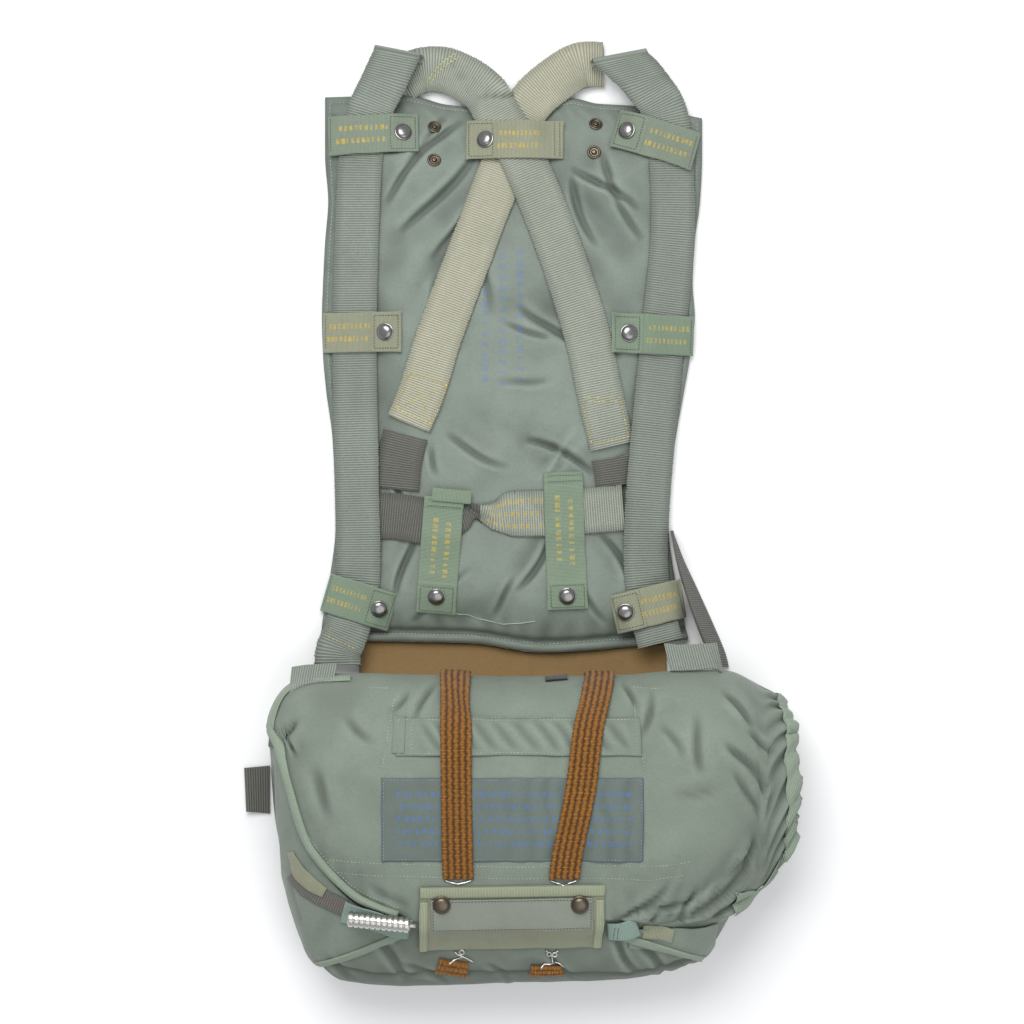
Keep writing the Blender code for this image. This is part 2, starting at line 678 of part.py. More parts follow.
def build_pack():
    """The filled container, with a recess below the top flap's hem."""
    xs = BODY_STATIONS
    alongs = [-1.0, -0.6, -0.25] + [k / 20 for k in range(21)] + [1.25, 1.6, 2.0]
    points = []
    for x in xs:
        hem = hem_y(x)
        for along in alongs:
            point = pack_base(x, along)
            if 0.0 < along < 2.0:
                beyond = smooth_step((hem - point.y) / HEM_SOFTNESS)
                level = smooth_step(point.z / 40.0)
                _, normal = pack_frame(x, min(along, 1.0))
                point -= normal * (HEM_RECESS * beyond * level)
            points.append(point)
    columns = len(alongs)
    faces = []
    for i in range(len(xs) - 1):
        for j in range(columns - 1):
            a = i * columns + j
            faces.append((a, a + columns, a + columns + 1, a + 1))
        a = i * columns
        faces.append((a, a + columns - 1, a + 2 * columns - 1, a + columns))
    faces.append(tuple(range(columns)))
    last = (len(xs) - 1) * columns
    faces.append(tuple(last + j for j in range(columns)))
    add_object("pack_body", points, faces, CANVAS)


def build_tan_panel():
    """Canvas that runs from the pad's lower edge to the container's north wall."""
    columns = 15
    rows = []
    for i in range(columns):
        x = mix(TAN_LEFT, TAN_RIGHT, i / (columns - 1))
        y_pad = blend_rows(PAD_BOTTOM, "x", x)["y"] - 0.8
        line = []
        for row in TAN_SLOPE:
            z, share = row["z"], row["share"]
            wall = pack_base(x, z / WAIST - 1.0).y + TAN_WALL_GAP
            y = mix(y_pad, wall, share)
            crease = 1.3 * math.exp(-((x - TAN_CREASE_X) / 7.0) ** 2) * share * (1.0 - share) * 4.0
            line.append(Vector((x, y, z + crease)))
        rows.append(line)
    thicken("tan_panel", rows, CLOTH_THICK, TAN)


def frill_skin(x):
    """Place on the container's skin under a place of the gathered end."""
    return min(x, FRILL_START + (x - FRILL_START) * FRILL_SHARE)


def frill_reach(x, along):
    """How far the gathered end stands out beyond the skin: less at its upper corner."""
    return (x - frill_skin(x)) * mix(FRILL_TRIM, 1.0, smooth_step((along + 0.1) / 0.5))


def build_flap():
    """The container's top flap, from low on the north wall over the crown to its hem."""
    count = 15
    grid = []
    for x in FLAP_STATIONS:
        skin_x = frill_skin(x)
        end = pack_along(skin_x, hem_y(x))
        line = []
        for k in range(count):
            along = mix(FLAP_START, end, k / (count - 1))
            point, normal = pack_frame(skin_x, along)
            out = smooth_step((x - FRILL_START) / 30.0)
            wave = 0.5 + 0.5 * math.sin(FRILL_WAVES * math.pi * k / (count - 1) * 0.9)
            point = point + Vector((frill_reach(x, along), 0.0, 0.0)) + normal * (FRILL_DEPTH * wave * out)
            line.append((point, normal))
        grid.append(line)
    lay_cloth("pack_flap", grid, CLOTH_THICK, CANVAS, sag=(3.0, 3.0), reach=40.0, gap=2.0 * GAP)


def build_side_flap(name, xs, seam):
    """Sheet on one lower corner, from under the top flap's hem to its own piping."""
    grid = []
    for x in xs:
        start = min(1.0, pack_along(x, hem_y(x) - 9.0))
        low = blend_rows(seam, "x", x)["y"]
        finish_along = max(start + 0.06, pack_along(x, low))
        grid.append([pack_frame(x, mix(start, finish_along, k / 4)) for k in range(5)])
    lay_cloth(name, grid, CLOTH_THICK, CANVAS, sag=(4.0, 4.0), reach=40.0, lowest=RECESSED)


def edge_binding(name, rows):
    """A rounded binding laid along an edge of the container."""
    web(name, rows, BINDING, sag=(2.0, 2.0), across=3, spacing=13.0, thick=BINDING_THICK,
        half=BINDING_WIDTH / 2.0, frame=pack_plan, relief=lambda i, j, n, m: 0.9 if j == 1 else -0.9)


def hem_rows(x0, x1, steps):
    return [{"x": x, "y": hem_y(x) + 1.0} for x in (mix(x0, x1, k / steps) for k in range(steps + 1))]


def build_end_binding():
    """Binding round the gathered right end of the top flap, following its waves."""
    tree = placed["pack_flap"]
    grid = []
    for k in range(17):
        along = mix(-0.3, 0.66, k / 16)
        line = []
        for x in END_BINDING_X:
            point, normal = pack_frame(frill_skin(x), along)
            point = point + Vector((frill_reach(x, along), 0.0, 0.0))
            hit = tree.ray_cast(point + normal * 40.0, -normal, 80.0)
            rise = 40.0 - hit[3] if hit[0] is not None else 0.0
            line.append((point + normal * max(0.0, rise), normal))
        grid.append(line)
    lay_cloth("binding_right", grid, BINDING_THICK, BINDING, sag=(3.0, 3.0), reach=30.0)


def build_band(name, route):
    """Shirred elastic band with raised ribs, from the north wall over the crown to its hook."""
    stations = [{"x": row["x"], "along": pack_along(row["x"], row["y"])}
                for row in smooth_route(route, BAND_STATION)]
    first = stations[0]
    wall = [{"x": first["x"], "along": mix(BAND_FOOT, first["along"], share)}
            for share in (0.0, 0.35, 0.7)]
    grid = []
    for row in wall + stations:
        grid.append([pack_frame(row["x"] + BAND_WIDTH * off, row["along"]) for off in (-0.5, 0.0, 0.5)])
    lay_cloth(name, grid, BAND_THICK, ELASTIC, sag=(0.6, 0.1), reach=14.0, ribs=BAND_RIBS)


def turned(name, profile, sides, centre, axis, finish):
    """A closed turned form: profile rows are radius and height along the axis."""
    axis = axis.normalized()
    side = axis.orthogonal().normalized()
    other = axis.cross(side)
    points, rings = [], []
    for radius, height in profile:
        if radius == 0.0:
            rings.append([len(points)])
            points.append(centre + axis * height)
            continue
        ring = []
        for k in range(sides):
            angle = 2.0 * math.pi * k / sides
            ring.append(len(points))
            points.append(centre + axis * height + (side * math.cos(angle)
                                                    + other * math.sin(angle)) * radius)
        rings.append(ring)
    faces = []
    if len(rings[0]) > 1:
        faces.append(tuple(reversed(rings[0])))
    if len(rings[-1]) > 1:
        faces.append(tuple(rings[-1]))
    for low, high in zip(rings, rings[1:]):
        for k in range(sides):
            following = (k + 1) % sides
            if len(high) == 1:
                faces.append((low[k], low[following], high[0]))
            elif len(low) == 1:
                faces.append((low[0], high[following], high[k]))
            else:
                faces.append((low[k], low[following], high[following], high[k]))
    return add_object(name, points, faces, finish)


def seat_round(name, x, y, radius, profile, finish, frame=floor_frame):
    """Set a turned piece square on the cloth under it."""
    point, normal = frame(x, y)
    side = normal.cross(Vector((0.0, 1.0, 0.0))).normalized()
    other = normal.cross(side)

    def surface(at):
        return at + normal * (cast(at, normal, 300.0) or 0.0)

    long = surface(point + side * radius) - surface(point - side * radius)
    wide = surface(point + other * radius) - surface(point - other * radius)
    axis = long.cross(wide).normalized()
    if axis.dot(normal) < 0.0:
        axis = -axis
    centre = surface(point)
    clear = 0.0
    for k in range(16):
        angle = 2.0 * math.pi * k / 16
        for share in (0.5, 1.0):
            at = point + (side * math.cos(angle) + other * math.sin(angle)) * (radius * share)
            clear = max(clear, (surface(at) - centre).dot(axis))
    turned(name, profile, ROUND_SIDES, centre + axis * (clear + GAP), axis, finish)


SNAP_PROFILE = [(SNAP_RADIUS - 0.4, 0.0), (SNAP_RADIUS, 1.0), (6.6, 3.0), (3.4, 4.4), (0.0, 4.8)]
STUD_PROFILE = [
    (STUD_RADIUS - 0.3, 0.0), (STUD_RADIUS, 1.4), (5.0, 1.9), (4.4, 0.9), (2.6, 0.9), (2.2, 2.4),
    (0.0, 2.6),
]


def build_tab(row):
    """A tape tab lying over its strap, with the end that holds the snap turned up square."""
    finish = TAB_FINISH.get(row["name"], TAPE_GREEN)
    start = {"x": row["x0"], "y": row["y0"]}
    end = {"x": row["x1"], "y": row["y1"]}
    web("tab_" + row["name"], [start, end], finish, sag=(1.1, 0.5), across=3, spacing=10.0,
        thick=TAPE_THICK, half=TAPE_WIDTH / 2.0)
    share = row["snap"] if row["name"] in SNAP_AT_START else 1.0 - row["snap"]
    x = mix(row["x0"], row["x1"], share)
    y = mix(row["y0"], row["y1"], share)
    seat_round("snap_" + row["name"], x, y, SNAP_RADIUS, SNAP_PROFILE, DARK_STEEL)


def ribbon_between(name, rows, thick, finish, hint=UP, across=3):
    """A free ribbon given by the two 3D edge lines of its underside."""
    grid = []
    for row in rows:
        a = Vector((row["ax"], row["ay"], row["az"]))
        b = Vector((row["bx"], row["by"], row["bz"]))
        grid.append([a.lerp(b, j / (across - 1)) for j in range(across)])
    thicken(name, grid, thick, finish, hint=hint)


def leaning_web(name, rows, finish, steps=2):
    """Webbing whose upper edge lies against the top flap and whose lower edge stands away."""
    edges = []
    for first, last in zip(rows, rows[1:]):
        edges += [{key: mix(first[key], last[key], k / steps) for key in first} for k in range(steps)]
    edges.append(dict(rows[-1]))
    for row in edges:
        top, out = pack_frame(row["x"], row["along"])
        outer = Vector((row["bx"], row["by"], row["bz"]))
        lift = 0.0
        for k in range(6):
            at = top.lerp(outer, k / 12)
            height = needed(at, out, 30.0)
            if height is not None:
                lift = max(lift, height)
        top = top + out * (lift + GAP)
        row.update(ax=top.x, ay=top.y, az=top.z)
    ribbon_between(name, edges, WEB_THICK, finish)


def build_loose_webs():
    """Webbing at the container's top corners and the free tail beside it."""
    ribbon_between("hip_web_right", table("ax ay az bx by bz", [
        (151.8, -18, 0.6, 150.8, -18, 34), (162, -45, 0.6, 155, -45, 40),
        (176, -75, 0.6, 163, -74, 40), (191, -108, 0.6, 174, -106, 38),
        (202, -134, 0.6, 184, -131, 37), (206, -149.3, 0.6, 190, -147.4, 34),
    ]), WEB_THICK, WEBBING_DARK, hint=Vector((1.0, 0.0, 0.2)))
    leaning_web("hip_loop_right", table("x along bx by bz", [
        (148, 0.04, 143, -124, 62), (162, 0.05, 157, -125, 68), (178, 0.06, 173, -124, 74),
        (196, 0.06, 191, -122, 80),
    ]), WEBBING)
    leaning_web("corner_web", table("x along bx by bz", [
        (-205, 0.13, -207, -147, 64), (-190, 0.12, -190, -145, 66), (-166, 0.11, -165, -144, 68),
    ]), WEBBING)
    ribbon_between("web_tail", table("ax ay az bx by bz", [
        (-231.8, -289, 0.6, -231.8, -243, 0.6), (-242, -288, 2.0, -243, -244, 1.4),
        (-254, -287, 5.5, -256, -245, 4.0),
    ]), WEB_THICK, WEBBING_DARK)


def wire(name, route):
    """Bent spring wire through a route's points."""
    curve = bpy.data.curves.new(name, "CURVE")
    curve.dimensions = "3D"
    curve.bevel_depth = WIRE_RADIUS * MM
    curve.bevel_resolution = 1
    curve.use_fill_caps = True
    line = curve.splines.new("POLY")
    line.points.add(len(route) - 1)
    shift = Vector((LAYOUT_CENTRE[0], LAYOUT_CENTRE[1], 0.0))
    for spot, place in zip(line.points, route):
        spot.co = (*((place - shift) * MM), 1.0)
    curve.materials.append(material(STEEL))
    thing = bpy.data.objects.new(name, curve)
    bpy.context.scene.collection.objects.link(thing)


def laid_wire(name, rows):
    """Wire lying on the container's cloth under each of its plan points."""
    route = []
    for x, y in rows:
        point, normal = pack_plan(x, y)
        height = max(RECESSED, needed(point, normal, 60.0)) + GAP + WIRE_RADIUS
        route.append(point + normal * height)
    wire(name, route)


def build_housing():
    """Ridged steel cable housing on its blue cloth, with the pin end beside the cover."""
    web("housing_base", HOUSING_CLOTH, BLUE_CLOTH, sag=(1.5, 0.3), across=4, spacing=11.0,
        thick=STRAP_THICK, half=HOUSING_CLOTH_HALF, frame=pack_plan)
    start, end = (Vector((row["x"], row["y"], 0.0)) for row in HOUSING)
    run = (end - start).normalized()
    side = run.cross(UP)
    need = []
    for k in range(15):
        centre = start.lerp(end, k / 14)
        tops = []
        for j in range(-8, 9):
            off = HOUSING_RADIUS * j / 8.0
            drop = math.sqrt(HOUSING_RADIUS ** 2 - off * off)
            tops.append((cast(centre + side * off, UP, 300.0) or 0.0) + drop)
        need.append(max(tops))
    slope = need[-1] - need[0]
    lift = max(height - (need[0] + slope * k / 14) for k, height in enumerate(need)) + GAP
    level = (need[0] + lift, need[-1] + lift)
    foot = Vector((start.x, start.y, level[0]))
    head = Vector((end.x, end.y, level[1]))
    axis = head - foot
    pitch = axis.length / HOUSING_TURNS
    profile = []
    for turn in range(HOUSING_TURNS):
        base = turn * pitch
        profile += [(HOUSING_RADIUS - 1.2, base), (HOUSING_RADIUS, base + pitch * 0.5)]
    profile += [(HOUSING_RADIUS - 1.2, axis.length), (2.0, axis.length + 0.6), (2.0, axis.length + 5.5)]
    turned("cable_housing", profile, ROUND_SIDES, foot, axis, STEEL)


def cover_relief(i, j, rows, columns):
    """Bound edges of the pin cover stand a little proud of its middle."""
    return 1.0 if i in (0, 1, rows - 2, rows - 1) or j in (columns - 2, columns - 1) else 0.0


def build_cover():
    """The pin cover flap, its stitched centre strip and two snaps."""
    xs = [COVER["x0"], -77] + [mix(-68, 68, k / 10) for k in range(11)] + [77, COVER["x1"]]
    grid = []
    for x in xs:
        slope = COVER_SKEW * (x / (COVER["x1"] - COVER["x0"]))
        line = []
        for share in (0.0, 0.2, 0.4, 0.6, 0.78, 0.9, 1.0):
            y = mix(COVER["y0"], COVER["y1"], share) + slope
            line.append(pack_plan(x - COVER_LEAN * (1.0 - share), y))
        grid.append(line)
    lay_cloth("pin_cover", grid, 2.6, CANVAS, sag=(0.8, 0.35), reach=40.0, relief=cover_relief,
              lowest=RECESSED)
    strip = patch_places(COVER_STRIP, 15, 4, COVER_SKEW)
    lay_cloth("pin_cover_strip", strip, 1.2, CANVAS, sag=(1.0, 0.5), reach=40.0)
    for row in COVER_SNAPS:
        seat_round("snap_" + row["name"], row["x"], row["y"], SNAP_RADIUS, SNAP_PROFILE, BRASS,
                   frame=pack_plan)


def build_container_trim():
    pocket = patch_places(POCKET, 19, 4)
    lay_cloth("pocket_strip", pocket, 1.4, CANVAS, sag=(1.0, 0.6), reach=40.0,
              relief=lambda i, j, n, m: 1.4 * (i % 2) if 0 < j < m - 1 else 0.0)
    patch = patch_places(DATA_PATCH, 15, 5)
    lay_cloth("data_patch", patch, 1.0, CANVAS, sag=(1.0, 0.6), reach=40.0)
    build_band("opening_band_left", BAND_LEFT)
    build_band("opening_band_right", BAND_RIGHT)
    low = {"spacing": 8.0, "frame": pack_plan, "sag": (0.8, 0.2), "ribs": 3, "thick": BAND_THICK}
    web("low_band_left", LOW_BAND_LEFT, ELASTIC, half=9.0, **low)
    web("low_band_right", LOW_BAND_RIGHT, ELASTIC, half=6.5, **low)


def build_hooks():
    for name, route in HOOKS.items():
        laid_wire(name, route)


def main():
    clear_scene()
    build_pad()
    build_pack()
    build_tan_panel()
    build_side_flap("side_flap_left", LEFT_FLAP_STATIONS, LOW_LEFT_SEAM)
    build_side_flap("side_flap_right", RIGHT_FLAP_STATIONS, LOW_RIGHT_SEAM)
    build_flap()

    web("cross_web_right", CROSS_RIGHT, WEBBING_PALE)
    web("cross_web_left", CROSS_LEFT, WEBBING)
    web("join_web_left", JOIN_LEFT, WEBBING_DARK)
    web("join_web_right", JOIN_RIGHT, WEBBING_DARK)
    web("back_band", BACK_BAND, WEBBING_DARK, sag=(0.8, 0.6))
    web("lift_web_left", LIFT_LEFT, WEBBING, curl=fold_under, slant=LIFT_LEFT_SLANT)
    web("lift_web_right", LIFT_RIGHT, WEBBING, curl=fold_under, slant=LIFT_RIGHT_SLANT)
    build_loose_webs()
    for number, row in enumerate(STUDS, 1):
        seat_round("stud_" + str(number), row["x"], row["y"], STUD_RADIUS, STUD_PROFILE, BRASS)
    for row in TABS:
        build_tab(row)

    edge_binding("binding_left", hem_rows(*HEM_BINDING_X, 13))
    edge_binding("binding_low_left", LOW_LEFT_SEAM[1:])
    edge_binding("binding_low_right", LOW_RIGHT_SEAM[:-1])
    build_end_binding()
    build_container_trim()
    build_housing()
    build_cover()
    web("end_strap", END_STRAP, BLUE_CLOTH, sag=(0.8, 0.4), across=3, spacing=8.0,
        thick=STRAP_THICK, half=9.0, frame=pack_plan)
    build_hooks()


main()
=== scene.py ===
"""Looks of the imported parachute: cloth, webbing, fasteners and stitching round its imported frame.

Lengths in the tables are millimetres seen from above: X across, Y up towards the shoulders and
Z up from the floor. Meshes are made in metres in the frame's own place.
"""

import math

import bpy
import numpy as np
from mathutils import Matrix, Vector, noise
from mathutils.bvhtree import BVHTree


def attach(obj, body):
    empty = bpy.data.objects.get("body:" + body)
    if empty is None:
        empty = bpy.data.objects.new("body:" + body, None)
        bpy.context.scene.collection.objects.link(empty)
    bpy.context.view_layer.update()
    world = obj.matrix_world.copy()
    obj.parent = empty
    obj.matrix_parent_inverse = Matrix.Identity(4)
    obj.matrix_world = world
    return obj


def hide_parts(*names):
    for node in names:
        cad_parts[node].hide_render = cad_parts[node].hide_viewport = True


bl_info = {
    "name": "Packed parachute",
    "version": (1, 0, 0),
    "blender": (4, 5, 0),
    "location": "View3D > Sidebar > Parachute",
    "description": "Builds the cloth, webbing, fasteners and stitching of a packed parachute",
    "category": "Object",
}

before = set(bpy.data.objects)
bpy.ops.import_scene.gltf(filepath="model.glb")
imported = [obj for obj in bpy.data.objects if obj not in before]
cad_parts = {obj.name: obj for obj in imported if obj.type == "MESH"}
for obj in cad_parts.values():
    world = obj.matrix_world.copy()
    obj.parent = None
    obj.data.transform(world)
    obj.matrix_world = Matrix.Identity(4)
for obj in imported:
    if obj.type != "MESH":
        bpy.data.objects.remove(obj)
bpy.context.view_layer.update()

MM = 0.001
LAYOUT_CENTRE = np.array([8.0, 2.5, 0.0])
UP = np.array([0.0, 0.0, 1.0])
FAR = 60.0


def table(columns, rows):
    """Rows of a table as dictionaries keyed by the column names."""
    return [dict(zip(columns.split(), row)) for row in rows]


# Outline and crown of the back pad.
PAD_EDGE = 8.0
PAD_CROWN = 27.0
PAD_HEM = 11.0
PAD_SIDES = table("y left right", [
    (398, -179, 182), (341, -179, 182), (298, -176, 180), (258, -179, 175), (218, -181, 173),
    (188, -182, 175), (152, -181, 171), (117, -178, 165), (72, -172, 157), (32, -170, 151),
    (-14, -169, 150), (-60, -174, 155), (-95, -180, 163), (-123, -184, 169),
])
PAD_TOP = table("x y", [
    (-179, 397), (-100, 399), (-62, 390), (-11, 386), (58, 396), (82, 391), (115, 389), (182, 377),
])
PAD_BOTTOM = table("x y", [
    (-184, -122), (-139, -123), (-42, -125), (30, -134), (116, -128), (169, -122),
])
# A trough is a negative depth, a puff a positive one.
PAD_CREASES = table("x0 y0 x1 y1 width depth", [
    (-20, 335, -120, 235, 13, -8), (-30, 300, -95, 190, 12, -6), (30, 330, 110, 250, 14, -8),
    (45, 345, 118, 300, 11, -5), (20, 215, 70, 150, 16, -7), (60, 250, 105, 190, 14, -6),
    (-10, 195, 45, 175, 13, -6), (-60, 90, 20, 60, 20, -5), (20, 62, 72, 42, 12, -9),
    (30, 30, 80, 78, 14, 7), (-40, 30, 0, 66, 18, 5), (40, -12, 10, -70, 13, -6),
    (-95, -25, -105, -75, 12, -6), (85, -20, 112, -60, 12, -6), (-5, -85, -60, -110, 14, -4),
    (-90, 260, -75, 120, 26, 4), (60, 120, 110, 90, 16, 5), (-150, 215, -120, 60, 20, -4),
])
PAD_FINE_CREASES = table("x0 y0 x1 y1 width depth", [
    (-44, 376, -118, 296, 4.5, -2.6), (-41, 342, -99, 264, 5.0, -2.4), (62, 328, 115, 286, 5, -3.0),
    (56, 317, 80, 254, 4.5, -2.2), (-30, 318, -70, 240, 4.0, -1.8), (-52, 384, -110, 332, 4, -1.6),
    (84, 340, 124, 262, 5, -2.2), (-95, 352, -122, 340, 4, -1.2), (12, 196, 64, 150, 4.5, -2.6),
    (-6, 178, 40, 168, 4.0, -2.0), (62, 190, 102, 150, 4.5, -2.2), (-66, 220, -86, 160, 5, -1.6),
    (-60, 70, -4, 44, 4.5, -1.8), (16, 66, 76, 40, 4.0, -3.2), (24, 34, 62, 74, 5.0, 1.8),
    (-78, 60, -70, 34, 4.0, -1.6), (36, -22, 8, -74, 4.0, -2.4), (4, -66, -20, -98, 3.6, -1.6),
    (-96, -28, -108, -80, 4.0, -2.6), (86, -24, 114, -66, 4.0, -2.4), (-40, -60, -96, -100, 4, -1.6),
    (60, -70, 92, -104, 4.0, -1.6), (-118, 40, -104, -10, 4.0, -1.6), (112, 40, 104, 0, 4, -1.6),
    (-10, 120, 36, 128, 5.0, -1.2), (-40, 250, -20, 190, 6.0, -1.4), (96, 118, 110, 84, 4, -1.6),
])

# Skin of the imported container.
PACK_FULLNESS = 2.25
PACK_TUCK = 12.0
HEM_RECESS = 7.0
HEM_SOFTNESS = 14.0
FRILL_START = 228.0
FRILL_SHARE = 0.55
FRILL_TRIM = 0.3
PACK_SECTIONS = table("x north south crown top waist", [
    (-231, -222, -262, -240, 56, 40), (-228, -200, -300, -244, 88, 50),
    (-220, -180, -340, -248, 112, 55), (-206, -165, -388, -250, 128, 58),
    (-190, -158, -424, -252, 137, 60), (-160, -155, -447, -254, 144, 62),
    (-105, -156, -452, -255, 150, 64), (0, -158, -449, -256, 152, 64),
    (100, -157, -446, -255, 151, 64), (150, -153, -438, -252, 148, 62),
    (182, -152, -425, -250, 144, 60), (200, -153, -402, -248, 140, 58),
    (222, -161, -362, -246, 130, 55), (240, -176, -336, -246, 114, 52),
    (252, -196, -308, -246, 92, 48), (259, -222, -272, -246, 58, 40),
])
HEM = table("x y", [
    (-229, -196), (-215, -212), (-203, -250), (-190, -295), (-175, -319), (-157, -340), (-139, -355),
    (-104, -369), (-80, -377), (0, -377), (85, -373), (140, -377), (196, -373), (231, -352),
    (262, -300),
])
LOW_LEFT_SEAM = table("x y", [(-206, -400), (-190, -427), (-150, -413), (-102, -391)])
LOW_RIGHT_SEAM = table("x y", [(102, -393), (140, -406), (181, -421), (196, -408)])
PACK_FOLDS = table("x0 y0 x1 y1 width depth", [
    (246, -300, 120, -384, 11, -7), (238, -330, 160, -386, 9, -6), (236, -265, 205, -335, 12, -6),
    (120, -345, 92, -384, 11, -5), (250, -215, 200, -190, 12, -4), (225, -235, 236, -290, 12, 5),
    (-165, -172, -100, -180, 15, -3), (-208, -205, -196, -225, 9, -6), (150, -170, 128, -230, 11, -3),
    (125, -320, 170, -300, 18, 5), (-150, -330, -110, -362, 15, -3), (-190, -240, -150, -300, 30, 3),
    (-60, -165, -30, -200, 12, -3), (40, -395, 70, -436, 10, -4), (-120, -400, -95, -440, 12, -3),
    (150, -392, 110, -430, 12, -5), (-20, -205, 20, -215, 14, -2), (118, -160, 112, -190, 10, -3),
])
FLAP_FINE_CREASES = table("x0 y0 x1 y1 width depth", [
    (99, -372, 147, -338, 4.5, -3.6), (107, -374, 168, -352, 4.0, -3.4), (150, -378, 170, -346, 4, -3.2),
    (153, -377, 214, -326, 4.5, -3.8), (214, -330, 220, -300, 4.0, -2.6), (199, -214, 226, -247, 5, -2.8),
    (226, -247, 234, -262, 4.0, -2.6), (180, -382, 232, -346, 4.0, -2.6), (122, -378, 140, -362, 3.6, -2.4),
    (-70, -160, -88, -192, 4.0, -2.2), (-96, -168, -108, -186, 4.0, -1.8), (-196, -196, -210, -212, 3.4, -4.0),
    (-204, -206, -198, -222, 3.0, -3.6), (128, -170, 120, -206, 4.5, -2.0), (104, -158, 112, -182, 4, -2.2),
    (168, -190, 176, -240, 6.0, -1.8), (196, -172, 218, -196, 4.5, -2.4), (206, -240, 224, -276, 4.5, -2.2),
    (216, -208, 240, -222, 4.0, -2.6), (228, -284, 238, -250, 4.0, 2.0), (-128, -340, -96, -362, 4.5, -1.6),
    (-180, -240, -164, -276, 7.0, -1.4), (60, -366, 92, -384, 4.0, -2.2), (-18, -360, 20, -378, 4.0, -1.4),
    (150, -262, 190, -250, 8.0, -1.4), (140, -200, 158, -226, 5.0, -1.6), (-150, -190, -130, -214, 6, -1.2),
    (196, -330, 212, -300, 5.0, 2.2), (176, -352, 190, -336, 4.0, 1.8), (134, -350, 154, -332, 4.5, 1.8),
])
BODY_FINE_CREASES = table("x0 y0 x1 y1 width depth", [
    (-176, -408, -150, -440, 5.0, -2.2), (-130, -398, -96, -436, 5.0, -2.4), (-100, -420, -60, -446, 4, -1.8),
    (96, -396, 118, -434, 4.5, -2.8), (112, -400, 150, -440, 5.0, -2.4), (150, -424, 184, -420, 4, -2.0),
    (34, -412, 60, -440, 4.0, -2.0), (-24, -424, 4, -446, 4.0, -1.4), (150, -440, 196, -412, 4, -1.6),
    (-206, -350, -190, -390, 4.5, -2.6), (-214, -330, -204, -372, 4.0, -2.4),
])

# Webbing routes: centre lines seen from above; the back band's rows also give its half width.
WEB_WIDTH = 44.0
LIFT_LEFT = table("x y", [
    (-166, -145), (-165, -131), (-156, -107), (-147, -62), (-148, 32), (-150, 152), (-148, 258),
    (-144, 339), (-136, 380), (-122, 410), (-112, 431),
])
LIFT_RIGHT = table("x y", [
    (141, -125), (135, -100), (129, -65), (128, -25), (131, 32), (142, 149), (153, 258), (152, 330),
    (146, 380), (126, 410), (106, 429),
])
CROSS_LEFT = table("x y", [
    (-106, 414), (-84, 423), (-58, 420), (-28, 402), (-12, 376), (10, 337), (42, 258), (69, 176),
    (84, 109), (95, 62),
])
CROSS_RIGHT = table("x y", [
    (88, 428), (66, 427), (46, 416), (22, 396), (7, 372), (-8, 330), (-35, 258), (-67, 172),
    (-84, 118), (-98, 84),
])
JOIN_LEFT = table("x y", [(-101, 74), (-107, 48), (-110, 22)])
JOIN_RIGHT = table("x y", [(97, 52), (99, 40), (101, 25)])
BACK_BAND = table("x y half", [
    (-128, -3, 22), (-105, -5, 22), (-85, -8, 22), (-64, -8, 21), (-48, -4, 15), (-34, 0, 6),
    (-16, -3, 14), (0, -2, 21), (31, -1, 22), (69, 1, 22), (106, 4, 22),
])
WEBS = table("node route finish rest", [
    ("cross_web_right", CROSS_RIGHT, "webbing_pale", "back_pad"),
    ("cross_web_left", CROSS_LEFT, "webbing_light", "back_pad"),
    ("join_web_left", JOIN_LEFT, "webbing_dark", "back_pad"),
    ("join_web_right", JOIN_RIGHT, "webbing_dark", "back_pad"),
    ("back_band", BACK_BAND, "webbing_dark", "back_pad"),
    ("lift_web_left", LIFT_LEFT, "webbing", "back_pad"),
    ("lift_web_right", LIFT_RIGHT, "webbing", "back_pad"),
])
# How far the folded ends' left and right corners run beyond the route.
SLANT_REACH = 60.0
TWIST_X = -30.0
LOOP_TUCK = 2.6
FOLDED_WEBS = {"lift_web_left": (0.0, 11.0), "lift_web_right": (19.0, -12.0)}
# Folds and dents across the webs.
WEB_CREASES = {
    "cross_web_left": table("x0 y0 x1 y1 width depth", [
        (-30, 398, 16, 396, 2.2, -5.0), (-26, 402, 18, 401, 4.5, 3.4), (-66, 440, -40, 404, 2.0, -2.2),
        (-26, 372, 14, 364, 9.0, 1.6), (20, 330, 56, 344, 12.0, -0.9), (60, 190, 92, 204, 14, 0.9),
    ]),
    "cross_web_right": table("x0 y0 x1 y1 width depth", [
        (30, 392, 74, 418, 2.4, -2.6), (18, 376, 44, 402, 5.0, 2.0), (-44, 252, -8, 268, 12, -0.9),
        (-100, 150, -60, 166, 14, 0.9),
    ]),
    "lift_web_left": table("x0 y0 x1 y1 width depth", [
        (-150, 392, -104, 376, 7.0, 1.4), (-170, 330, -124, 338, 16, -0.9), (-178, -70, -132, -56, 9, -1.2),
        (-176, -112, -140, -98, 7.0, 1.6), (-168, 60, -128, 66, 22, 0.8),
    ]),
    "lift_web_right": table("x0 y0 x1 y1 width depth", [
        (124, 392, 168, 404, 7.0, 1.4), (132, 330, 174, 326, 16, -0.9), (112, -80, 152, -70, 9, -1.2),
        (112, 60, 152, 54, 22, 0.8),
    ]),
    "back_band": table("x0 y0 x1 y1 width depth", [
        (-60, 16, -18, -12, 2.2, -3.2), (-52, 20, -8, -8, 5.0, 3.0), (-4, 18, 30, -20, 8.0, 1.4),
        (10, 24, 44, -24, 6.0, -1.2),
    ]),
    "join_web_left": [], "join_web_right": [],
}

